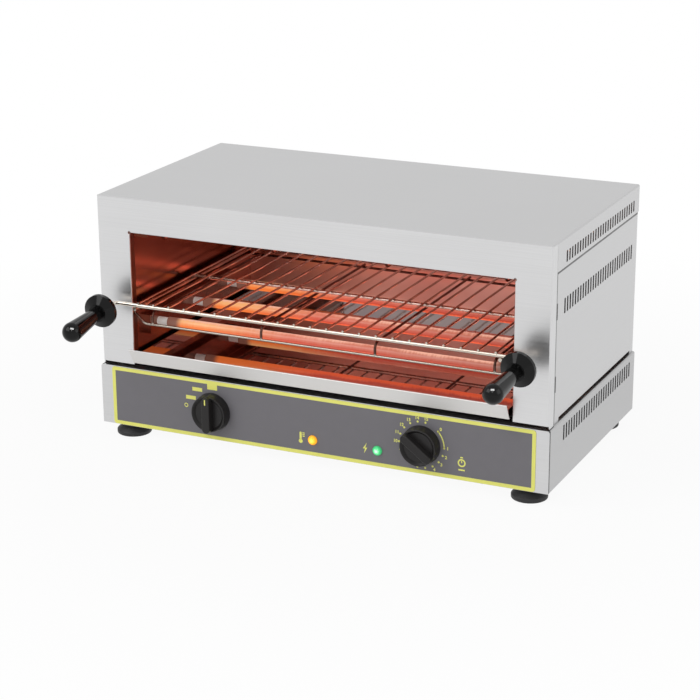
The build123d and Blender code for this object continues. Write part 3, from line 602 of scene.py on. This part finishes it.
def glowing_quartz(name, heat, strength, tube_low, tube_high):
    """Milky quartz lit from inside: unlit ends, yellower at the left, and four tones from bottom to crown,
    with a painted highlight on the crown and painted shade on the underside.
    """
    quartz = Finish(name, Base_Color=(*heat.unlit, 1.0), Roughness=0.25, Emission_Strength=strength)
    run = quartz.along(X_AXIS, tube_low.x, tube_high.x)
    cloud = quartz.noise(per_metre=(14.0, 60.0, 60.0), detail=2.0)
    turns = quartz.noise(per_metre=(420.0, 20.0, 20.0), detail=1.0)
    flicker = quartz.sum(quartz.spread(cloud, low=-0.10, high=0.10),
                         quartz.spread(turns, low=-0.05, high=0.05))
    rise = quartz.sum(quartz.along(Z_AXIS, tube_low.z, tube_high.z), flicker)
    # The crown tones are a painted highlight along the top of the tube; the darker, redder underside tones
    # are painted shade.
    tones = ((heat.under_left, heat.under, heat.under_right),
             (heat.glow_left, heat.glow, heat.glow_right),
             (heat.crown, heat.crown, heat.crown))
    glow = lit_run(quartz, run, heat.unlit, (heat.under_left, heat.bottom, heat.bottom))
    for (start, end), lit in zip(RISE_SHARES, tones):
        is_above = quartz.spread(rise, start=start, end=end)
        glow = quartz.either(is_above, glow, lit_run(quartz, run, heat.unlit, lit))
    quartz.drive("Emission Color", glow)
    quartz.bump(turns, height=0.00005)
    return quartz


def hot_element(name, heat):
    """Heating element, orange along its length."""
    element = Finish(name, Roughness=0.6, Emission_Strength=heat.lower_glow)
    turns = element.noise(per_metre=(500.0, 40.0, 40.0), detail=1.0)
    glow = element.tint(element.spread(turns), shaded(heat.glow, factor=0.5), heat.glow_left)
    element.drive("Base Color", glow)
    element.drive("Emission Color", glow)
    return element


def lit_lens(name, tone, core, strength, centre, reach):
    """Indicator lens with a lamp behind its middle."""
    lens = Finish(name, Roughness=0.3, Specular_IOR_Level=0.3, Emission_Strength=strength)
    prisms = lens.cloud(per_metre=700.0, detail=1.0)
    fade = lens.sum(lens.away_from(centre, reach), lens.spread(prisms, low=-0.10, high=0.10))
    glow = lens.tint(fade, core, tone, shaded(tone, factor=0.45))
    lens.drive("Base Color", glow)
    lens.drive("Emission Color", glow)
    lens.bump(prisms, height=0.00015)
    return lens


def dress(finish, *nodes):
    """Gives CAD nodes a finish."""
    for node in nodes:
        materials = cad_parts[node].data.materials
        materials.clear()
        materials.append(finish.material)


def middle(node):
    """Centre of a CAD node's box."""
    low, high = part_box(node)
    return (low + high) / 2


def both(stem):
    """Names of a left and a right node."""
    return [f"{stem}_{side}" for side in SIDES]


class Print:
    """Flat printed shapes that lie on one upright face and are kept together as one piece."""

    def __init__(self, face_y, rise):
        self.face_y = face_y
        self.rise = rise
        self.shapes = bmesh.new()

    def outline(self, points):
        """A filled shape from its outline, anticlockwise as seen from the front."""
        front = [self.shapes.verts.new((x, self.face_y - self.rise, z)) for x, z in points]
        back = [self.shapes.verts.new((x, self.face_y, z)) for x, z in points]
        self.shapes.faces.new(front)
        self.shapes.faces.new(reversed(back))
        self.wall(front, back)

    def wall(self, front, back):
        """Faces all the way round between two rings of points."""
        for index, corner in enumerate(front):
            before = index - 1
            self.shapes.faces.new((front[before], back[before], back[index], corner))

    def band(self, outer, inner):
        """A closed line between two outlines with as many points each."""
        rings = []
        for points in (outer, inner):
            for y in (self.face_y - self.rise, self.face_y):
                rings.append([self.shapes.verts.new((x, y, z)) for x, z in points])
        outer_front, outer_back, inner_front, inner_back = rings
        self.wall(outer_front, outer_back)
        self.wall(inner_back, inner_front)
        self.wall(inner_front, outer_front)
        self.wall(outer_back, inner_back)

    def number(self, words, height, centre):
        """Figures in the plain built-in face."""
        text = bpy.data.curves.new("figures", "FONT")
        text.body = words
        text.size = height / FIGURE_HEIGHT_SHARE
        text.align_x = "CENTER"
        text.align_y = "CENTER"
        text.extrude = self.rise / 2
        text.offset = height * FIGURE_STROKE_SHARE
        holder = bpy.data.objects.new("figures", text)
        mesh = bpy.data.meshes.new_from_object(holder)
        upright = Matrix.Rotation(math.radians(QUARTER_TURN), 4, "X")
        mesh.transform(Matrix.Translation((centre[0], self.face_y - self.rise / 2, centre[1])) @ upright)
        self.shapes.from_mesh(mesh)
        bpy.data.objects.remove(holder)
        bpy.data.curves.remove(text)
        bpy.data.meshes.remove(mesh)

    def piece(self, name, finish, body):
        """Ends the print and lets it ride on a body."""
        bmesh.ops.recalc_face_normals(self.shapes, faces=self.shapes.faces)
        mesh = bpy.data.meshes.new(name)
        self.shapes.to_mesh(mesh)
        self.shapes.free()
        mesh.materials.append(finish.material)
        made = bpy.data.objects.new(name, mesh)
        bpy.context.scene.collection.objects.link(made)
        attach(made, body)


def on_dial(centre, radius, clock):
    """Point on a dial, with clock in degrees clockwise from the top."""
    turn = math.radians(clock)
    return centre[0] + radius * math.sin(turn), centre[1] + radius * math.cos(turn)


def disc(centre, radius):
    """Outline of a round dot."""
    return [on_dial(centre, radius, -FULL_TURN * step / CIRCLE_STEPS) for step in range(CIRCLE_STEPS)]


def arc_strip(centre, radius, width, start, end):
    """Curved strip on a dial between two clock angles."""
    clocks = [start + (end - start) * step / CIRCLE_STEPS for step in range(CIRCLE_STEPS + 1)]
    inner = [on_dial(centre, radius - width / 2, clock) for clock in clocks]
    outer = [on_dial(centre, radius + width / 2, clock) for clock in reversed(clocks)]
    return inner + outer


def rounded(low, high, corner):
    """Rectangle with round corners."""
    left, right = low[0] + corner, high[0] - corner
    bottom, top = low[1] + corner, high[1] - corner
    points = []
    for quarter, (x, z) in enumerate(((right, top), (left, top), (left, bottom), (right, bottom))):
        for step in range(CORNER_STEPS + 1):
            turn = math.radians(QUARTER_TURN * (quarter + step / CORNER_STEPS))
            points.append((x + corner * math.cos(turn), z + corner * math.sin(turn)))
    return points


def bar(centre, width, height):
    """Plain rectangle about its centre."""
    left, right = centre[0] - width / 2, centre[0] + width / 2
    bottom, top = centre[1] - height / 2, centre[1] + height / 2
    return [(left, bottom), (right, bottom), (right, top), (left, top)]


def seen_rays(tree, kinds):
    """1 for the kinds of rays that are named, 0 for the light that falls on matt things."""
    rays = tree.nodes.new("ShaderNodeLightPath")
    seen = rays.outputs[kinds[0]]
    for kind in kinds[1:]:
        either = tree.nodes.new("ShaderNodeMath")
        either.operation = "MAXIMUM"
        tree.links.new(seen, either.inputs[0])
        tree.links.new(rays.outputs[kind], either.inputs[1])
        seen = either.outputs[0]
    return seen


def white_room(tree, strength):
    """One evenly white background."""
    shade = tree.nodes.new("ShaderNodeBackground")
    shade.inputs["Color"].default_value = WHITE
    shade.inputs["Strength"].default_value = strength
    return shade.outputs[0]


def light_room(stage):
    """White surroundings that light matt things at a plain level."""
    world = bpy.data.worlds.new("plain_room")
    bpy.context.scene.world = world
    world.use_nodes = True
    tree = world.node_tree
    tree.nodes.clear()
    room = white_room(tree, stage.room_light)
    for kinds, strength in ((MIRRORED, stage.mirrored_room), (SEEN, 1.0)):
        mix = tree.nodes.new("ShaderNodeMixShader")
        tree.links.new(seen_rays(tree, kinds), mix.inputs[0])
        tree.links.new(room, mix.inputs[1])
        tree.links.new(white_room(tree, strength), mix.inputs[2])
        room = mix.outputs[0]
    out = tree.nodes.new("ShaderNodeOutputWorld")
    tree.links.new(room, out.inputs["Surface"])


def pale_floor(stage):
    """Matt floor that keeps the shadow near the grill and fades to white away from it."""
    pale = Finish("pale_floor", Roughness=1.0)
    grain = pale.spread(pale.cloud(per_metre=3.0))
    pale.drive("Base Color", pale.tint(grain, shaded(stage.floor_colour, factor=0.98), stage.floor_colour))
    white = pale.node("ShaderNodeEmission")
    white.inputs["Color"].default_value = WHITE
    gap = pale.node("ShaderNodeVectorMath", operation="LENGTH")
    pale.join(pale.place, gap.inputs[0])
    whiteness = pale.spread(gap.outputs["Value"], stage.floor_glow, 1.0, SHADOW_NEAR, SHADOW_FAR)
    mix = pale.node("ShaderNodeMixShader")
    pale.join(pale.overlap(seen_rays(pale.tree, SEEN + MIRRORED), whiteness), mix.inputs[0])
    pale.join(pale.surface.outputs[0], mix.inputs[1])
    pale.join(white.outputs[0], mix.inputs[2])
    pale.join(mix.outputs[0], pale.tree.nodes["Material Output"].inputs["Surface"])
    return pale


def lay_floor(stage):
    """Wide flat floor just under the feet."""
    mesh = bpy.data.meshes.new("floor")
    corners = bar((0.0, 0.0), FLOOR_WIDTH, FLOOR_WIDTH)
    mesh.from_pydata([(x, y, -FLOOR_DROP) for x, y in corners], [], [range(len(corners))])
    mesh.materials.append(pale_floor(stage).material)
    floor = bpy.data.objects.new("floor", mesh)
    bpy.context.scene.collection.objects.link(floor)


def hang_lamp(name, start, aim, size, watts, tone=WHITE[:3]):
    """Soft rectangular lamp that looks from one point to another and isn't seen itself."""
    data = bpy.data.lights.new(name, "AREA")
    data.shape = "RECTANGLE"
    data.size, data.size_y = size
    data.energy = watts
    data.color = tone
    lamp = bpy.data.objects.new(name, data)
    bpy.context.scene.collection.objects.link(lamp)
    lamp.location = start
    lamp.rotation_euler = (Vector(aim) - Vector(start)).to_track_quat("-Z", "Y").to_euler()
    lamp.visible_camera = False
    return lamp


def reach_only(lamp, nodes):
    """Lets a lamp shine on some nodes only, and only as gloss, as a card held close to them does."""
    reached = bpy.data.collections.new(f"{lamp.name}_reach")
    for node in nodes:
        reached.objects.link(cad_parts[node])
    lamp.light_linking.receiver_collection = reached
    lamp.visible_diffuse = False


def place_camera(stage):
    """Camera at the photograph's viewing angle."""
    turn, rise, roll = stage.view_azimuth, stage.view_elevation, stage.view_roll
    back = Vector((math.sin(turn) * math.cos(rise), -math.cos(turn) * math.cos(rise), math.sin(rise)))
    level_right = Vector((math.cos(turn), math.sin(turn), 0.0))
    level_up = back.cross(level_right)
    right = level_right * math.cos(roll) + level_up * math.sin(roll)
    up = level_up * math.cos(roll) - level_right * math.sin(roll)
    pose = Matrix((right, up, back)).transposed().to_4x4()
    pose.translation = Vector(stage.view_target) + back * stage.view_distance
    data = bpy.data.cameras.new("photo_camera")
    data.sensor_width = SENSOR_WIDTH
    data.lens = stage.lens
    camera = bpy.data.objects.new("photo_camera", data)
    bpy.context.scene.collection.objects.link(camera)
    camera.matrix_world = pose
    bpy.context.scene.camera = camera


class GRILL_OT_stage(Operator):
    """Set up the white room, the floor, the soft lamps and the camera"""

    bl_idname = "grill.stage"
    bl_label = "Stage"

    def execute(self, context):
        stage = context.scene.grill_stage
        context.scene.view_settings.view_transform = "Standard"
        light_room(stage)
        lay_floor(stage)
        centre = (CAD_BOX[0] + CAD_BOX[1]) / 2
        lamps = {}
        for lamp in LAMPS:
            start, size, watts = [getattr(stage, f"{lamp}_{part}") for part in ("place", "size", "power")]
            lamps[lamp] = hang_lamp(f"{lamp}_lamp", start, centre, size, watts)
        reach_only(lamps["glint"], both("handle"))
        place_camera(stage)
        return {"FINISHED"}


class GRILL_OT_casing(Operator):
    """Finish the brushed stainless sheets of the base and the upper housing"""

    bl_idname = "grill.casing"
    bl_label = "Casing"

    def execute(self, context):
        finishes = context.scene.grill_finishes
        sheets = context.scene.grill_sheets
        front_low, front_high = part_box("front_frame")
        base_low, base_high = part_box("base_casing")
        flange_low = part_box("top_cover")[0].z
        dress(brushed_steel("steel_brushed_across", finishes, X_AXIS), "base_front_panel", "bottom_plate")
        # Each sheet's lightness is painted light and shade: the front is drawn lighter, and the top, sides
        # and base darker.
        dress(brushed_steel("top_cover_steel", finishes, X_AXIS, sheets.top_polish), "top_cover")
        mouth_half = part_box("side_liner_right")[0].x
        mouth = mouth_steel("mouth_steel", finishes, sheets.front_polish, front_low.y, mouth_half)
        dress(mouth, "front_frame")
        joints = ((Z_AXIS, flange_low, -sheets.flange_shade), (Y_AXIS, front_high.y, sheets.frame_shade))
        side = jointed_steel("side_panel_steel", finishes, Y_AXIS, joints, sheets.side_polish)
        window_lows = (flange_low - sheets.upper_window, base_high.z + sheets.lower_window)
        darken_windows(side, finishes, front_high.y, sheets.window_reach, window_lows, sheets.window_height)
        dress(side, *both("side_panel"))
        joints = ((Y_AXIS, base_low.y, sheets.panel_shade),)
        base = jointed_steel("base_casing_steel", finishes, Y_AXIS, joints, sheets.base_polish)
        dress(base, "base_casing")
        inner_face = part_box("rear_panel")[0].y
        dress(rear_wall_steel("rear_wall_steel", finishes, inner_face), "rear_panel")
        return {"FINISHED"}


class GRILL_OT_hot_space(Operator):
    """Finish the heat-browned walls, rails and carriers inside"""

    bl_idname = "grill.hot_space"
    bl_label = "Hot space"

    def execute(self, context):
        finishes = context.scene.grill_finishes
        liner = liner_steel("heat_browned_liner", finishes)
        dress(liner, "ceiling_reflector", *both("side_liner"))
        dress(liner, *both("rack_rail"), *both("lower_carrier"), *both("upper_carrier"))
        dress(blackened_steel("blackened_deck", finishes), "deck_plate", *both("tray_runner"))
        return {"FINISHED"}


class GRILL_OT_heaters(Operator):
    """Light the quartz tubes and finish their ceramic ends"""

    bl_idname = "grill.heaters"
    bl_label = "Heaters"

    def execute(self, context):
        heat = context.scene.grill_heat
        finishes = context.scene.grill_finishes
        # The ceramic's faint emission is painted light that lifts the tube ends.
        ceramic = moulded("tube_end_ceramic", finishes.ceramic, grain=900.0, roughness=0.6, depth=0.00003,
                          Emission_Color=(*finishes.ceramic, 1.0), Emission_Strength=heat.ceramic_glow)
        dress(hot_element("hot_element", heat), "lower_heater_coils", "upper_heater_coils")
        dress(ceramic, "lower_tube_plugs", "upper_tube_plugs")
        self.light_row(heat, "lower", heat.lower_glow, heat.lower_power, Vector((0.0, 0.0, 1.0)))
        self.light_row(heat, "upper", heat.upper_glow, heat.upper_power, Vector((0.0, 0.0, -1.0)))
        return {"FINISHED"}

    def light_row(self, heat, row, strength, watts, way):
        """Glowing tubes of one row, each with a lamp that shines up or down from it."""
        quartz = glowing_quartz(f"glowing_quartz_{row}", heat, strength, *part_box(f"{row}_tube_front"))
        for tube_place in TUBE_PLACES:
            tube = f"{row}_tube_{tube_place}"
            dress(quartz, tube)
            low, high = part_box(tube)
            start = middle(tube) + way * (high.z - low.z)
            size = (high.x - low.x, high.y - low.y)
            hang_lamp(f"{tube}_light", start, start + way, size, watts, heat.heat_light)


class GRILL_OT_guards(Operator):
    """Finish the wire guards of both rows of tubes"""

    bl_idname = "grill.guards"
    bl_label = "Guards"

    def execute(self, context):
        finishes = context.scene.grill_finishes
        sheets = context.scene.grill_sheets
        bar_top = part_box("lower_tube_guard")[0].z + sheets.guard_wire
        wire = hot_wire("guard_wire", finishes, finishes.wire_brown, Z_AXIS, bar_top, sheets.guard_polish)
        dress(wire, "lower_tube_guard", "upper_tube_guard")
        return {"FINISHED"}


class GRILL_OT_rack(Operator):
    """Finish the wire rack and its two grips"""

    bl_idname = "grill.rack"
    bl_label = "Rack"

    def execute(self, context):
        finishes = context.scene.grill_finishes
        dress(bright_wire("rack_bar_wire", finishes), "rack_handle_bar")
        hot_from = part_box("front_frame")[1].y
        dress(hot_wire("rack_wire", finishes, finishes.wire_warm, Y_AXIS, hot_from), "rack_grid")
        grip = moulded("handle_grip", finishes.grip, grain=500.0, roughness=0.08, depth=0.000002,
                       Specular_IOR_Level=0.22)
        dress(grip, *both("handle"))
        return {"FINISHED"}


class GRILL_OT_tray(Operator):
    """Finish the polished crumb tray"""

    bl_idname = "grill.tray"
    bl_label = "Crumb tray"

    def execute(self, context):
        lip_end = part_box("crumb_tray")[0].y + context.scene.grill_sheets.lip_reach
        dress(polished_tray("polished_tray", context.scene.grill_finishes, lip_end), "crumb_tray")
        return {"FINISHED"}


class GRILL_OT_control_panel(Operator):
    """Finish the film and print its border, scales and symbols"""

    bl_idname = "grill.control_panel"
    bl_label = "Control panel"

    def execute(self, context):
        finishes = context.scene.grill_finishes
        sizes = context.scene.grill_print
        film = moulded("panel_film", finishes.film, grain=1500.0, roughness=0.42, depth=0.00001,
                       unevenness=0.02)
        dress(film, "control_overlay")
        ink = moulded("panel_ink", finishes.ink, grain=1500.0, roughness=0.40, depth=0.000005,
                      unevenness=0.02)
        low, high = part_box("control_overlay")
        self.border(sizes, ink, low, high)
        self.timer_scale(sizes, ink, low, high)
        self.selector_marks(sizes, ink, low, high)
        self.symbols(sizes, ink, low.y)
        return {"FINISHED"}

    def border(self, sizes, ink, low, high):
        """Line all round the edge of the film."""
        line = Print(low.y, sizes.ink_rise)
        width = sizes.border_width
        outer = rounded((low.x, low.z), (high.x, high.z), sizes.border_corner)
        inner = rounded((low.x + width, low.z + width), (high.x - width, high.z - width), sizes.ink_rise)
        line.band(outer, inner)
        line.piece("panel_border", ink, "housing")

    def timer_scale(self, sizes, ink, low, high):
        """Zero, a thick arc to the first of fifteen dots, and the numbers that there is room for."""
        axis = middle("timer_shaft")
        centre = (axis.x, axis.z)
        dots = Print(low.y, sizes.ink_rise)
        numbers = Print(low.y, sizes.ink_rise)
        dots.outline(arc_strip(centre, sizes.dot_ring, sizes.dot_radius, TIMER_ZERO, TIMER_FIRST))
        clocks = [TIMER_ZERO] + [TIMER_FIRST + TIMER_STEP * step for step in range(TIMER_MINUTES)]
        room = sizes.border_width + sizes.number_height / 2
        for minute, clock in enumerate(clocks):
            dots.outline(disc(on_dial(centre, sizes.dot_ring, clock), sizes.dot_radius))
            x, z = on_dial(centre, sizes.number_ring, clock)
            if minute not in UNNUMBERED and low.z + room < z < high.z - room:
                numbers.number(str(minute), sizes.number_height, (x, z))
        dots.piece("timer_dots", ink, "housing")
        numbers.piece("timer_numbers", ink, "housing")

    def selector_marks(self, sizes, ink, low, high):
        """Off, then two bars and a block for the three ways of heating."""
        axis = middle("selector_shaft")
        centre = (axis.x, axis.z)
        marks = Print(low.y, sizes.ink_rise)
        for clock in BAR_CLOCKS:
            marks.outline(bar(on_dial(centre, sizes.mark_ring, clock), sizes.bar_width, sizes.bar_height))
        block_top = high.z - sizes.border_width
        block_centre = (axis.x, block_top - sizes.block_height / 2)
        marks.outline(bar(block_centre, sizes.bar_width, sizes.block_height))
        set_off, outside, inside = [sizes.bar_height * part for part in OFF_SHARES]
        off = on_dial(centre, sizes.mark_ring + set_off, OFF_CLOCK)
        marks.band(disc(off, outside), disc(off, inside))
        marks.piece("selector_marks", ink, "housing")

    def symbols(self, sizes, ink, face_y):
        """Thermometer and flash beside the lamps, and a clock to the right of the timer."""
        tall = sizes.symbol_height
        amber, green, timer = middle("amber_lens"), middle("green_lens"), middle("timer_shaft")
        lift, flash_lift = tall * 0.1, tall * 0.05
        symbols = Print(face_y, sizes.ink_rise)
        self.thermometer(symbols, tall, amber.x - sizes.symbol_gap, amber.z + lift)
        x, z = green.x - sizes.symbol_gap, green.z + flash_lift
        symbols.outline([(x + tall * across, z + tall * up) for across, up in FLASH_SHARES])
        self.clock(symbols, tall, timer.x + sizes.clock_gap, amber.z + lift)
        symbols.piece("panel_symbols", ink, "housing")

    def thermometer(self, symbols, tall, x, z):
        """Bulb, stem and three marks beside the stem."""
        bulb, bulb_drop = tall * 0.19, tall * 0.35
        stem_half, stem_corner = bulb * 0.55, bulb * 0.5
        stem_foot, stem_top = z - tall * 0.2, z + tall * 0.5
        mark_set_off, mark_width, mark_height = bulb * 1.5, bulb * 1.1, bulb * 0.45
        symbols.outline(disc((x, z - bulb_drop), bulb))
        symbols.outline(rounded((x - stem_half, stem_foot), (x + stem_half, stem_top), stem_corner))
        for level in LEVEL_SHARES:
            symbols.outline(bar((x + mark_set_off, z + tall * level), mark_width, mark_height))

    def clock(self, symbols, tall, x, z):
        """Ring with a hand, a button on top and a line under it."""
        ring = tall * 0.36
        ring_inside = ring * 0.66
        hand, button, line = z + ring * 0.28, z + ring * 1.35, z - ring * 1.75
        symbols.band(disc((x, z), ring), disc((x, z), ring_inside))
        symbols.outline(bar((x, hand), width=ring * 0.26, height=ring * 0.56))
        symbols.outline(bar((x, button), width=ring * 0.7, height=ring * 0.32))
        symbols.outline(bar((x, line), width=ring * 1.6, height=ring * 0.36))


class GRILL_OT_knobs(Operator):
    """Finish the knobs and print the selector's pointer line"""

    bl_idname = "grill.knobs"
    bl_label = "Knobs"

    def execute(self, context):
        finishes = context.scene.grill_finishes
        sizes = context.scene.grill_print
        knob = moulded("knob_plastic", finishes.knob, grain=1400.0, roughness=0.32, depth=0.00001,
                       unevenness=0.06, Specular_IOR_Level=0.3)
        dress(knob, "selector_knob", "timer_knob")
        dress(plated("shaft_steel", finishes), "selector_shaft", "timer_shaft")
        low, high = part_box("selector_knob")
        ink = moulded("pointer_ink", finishes.ink, grain=1500.0, roughness=0.45, depth=0.00001)
        line = Print(low.y, sizes.ink_rise)
        line_middle = high.z - sizes.pointer_gap - sizes.pointer_length / 2
        line_centre = (middle("selector_shaft").x, line_middle)
        line.outline(bar(line_centre, sizes.pointer_width, sizes.pointer_length))
        line.piece("selector_pointer", ink, "selector")
        return {"FINISHED"}


class GRILL_OT_lamps(Operator):
    """Light the two indicator lenses"""

    bl_idname = "grill.lamps"
    bl_label = "Indicator lamps"

    def execute(self, context):
        finishes = context.scene.grill_finishes
        strength = context.scene.grill_heat.lens_glow
        tones = {"amber_lens": (finishes.amber, finishes.amber_core),
                 "green_lens": (finishes.green, finishes.green_core)}
        for node, (tone, core) in tones.items():
            low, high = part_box(node)
            face = Vector(((low.x + high.x) / 2, low.y, (low.z + high.z) / 2))
            reach = (high.x - low.x) * LENS_REACH_SHARE
            dress(lit_lens(f"lit_{node}", tone, core, strength, face, reach), node)
        holder = moulded("lamp_holder_plastic", finishes.housing, grain=900.0, roughness=0.45,
                         depth=0.00002)
        dress(holder, "lamp_holders")
        return {"FINISHED"}


class GRILL_OT_feet(Operator):
    """Finish the rubber feet and every screw and nut"""

    bl_idname = "grill.feet"
    bl_label = "Feet and fasteners"

    def execute(self, context):
        finishes = context.scene.grill_finishes
        rubber = moulded("foot_rubber", finishes.rubber, grain=700.0, roughness=0.55, depth=0.00005)
        dress(rubber, *both("foot_front"), *both("foot_rear"))
        zinc = plated("plated_fasteners", finishes)
        dress(zinc, "foot_screws", "foot_nuts", "bottom_screws", "rear_screws")
        return {"FINISHED"}


class GRILL_OT_mains_entry(Operator):
    """Finish the gland, the terminal block and the control units behind the panel"""

    bl_idname = "grill.mains_entry"
    bl_label = "Mains entry"

    def execute(self, context):
        finishes = context.scene.grill_finishes
        nylon = moulded("gland_nylon", finishes.nylon, grain=800.0, roughness=0.42, depth=0.00002)
        dress(nylon, "cable_gland", "gland_nut")
        housing = moulded("control_housing", finishes.housing, grain=900.0, roughness=0.5, depth=0.00002)
        dress(housing, "terminal_block", "selector_switch", "timer_unit")
        return {"FINISHED"}


SETTINGS = {
    "grill_stage": GrillStageSettings,
    "grill_finishes": GrillFinishSettings,
    "grill_sheets": GrillSheetSettings,
    "grill_heat": GrillHeatSettings,
    "grill_print": GrillPrintSettings,
}
STEPS = (GRILL_OT_stage, GRILL_OT_casing, GRILL_OT_hot_space, GRILL_OT_heaters, GRILL_OT_guards,
         GRILL_OT_rack, GRILL_OT_tray, GRILL_OT_control_panel, GRILL_OT_knobs, GRILL_OT_lamps,
         GRILL_OT_feet, GRILL_OT_mains_entry)


class GRILL_PT_sidebar(Panel):
    """Sizes and colours of the grill, and the steps that build its looks"""

    bl_idname = "GRILL_PT_sidebar"
    bl_label = "Salamander grill"
    bl_space_type = "VIEW_3D"
    bl_region_type = "UI"
    bl_category = "Grill"

    def draw(self, context):
        for step in STEPS:
            self.layout.operator(step.bl_idname)
        for group, kind in SETTINGS.items():
            box = self.layout.box()
            box.label(text=kind.__doc__)
            for setting in kind.__annotations__:
                box.prop(getattr(context.scene, group), setting)


CLASSES = (*SETTINGS.values(), *STEPS, GRILL_PT_sidebar)


def register():
    for kind in CLASSES:
        bpy.utils.register_class(kind)
    for group, kind in SETTINGS.items():
        setattr(bpy.types.Scene, group, PointerProperty(type=kind))


def unregister():
    for group in SETTINGS:
        delattr(bpy.types.Scene, group)
    for kind in reversed(CLASSES):
        bpy.utils.unregister_class(kind)


def main():
    register()
    for step in STEPS:
        group, name = step.bl_idname.split(".")
        getattr(getattr(bpy.ops, group), name)()


if __name__ == "__main__":
    main()
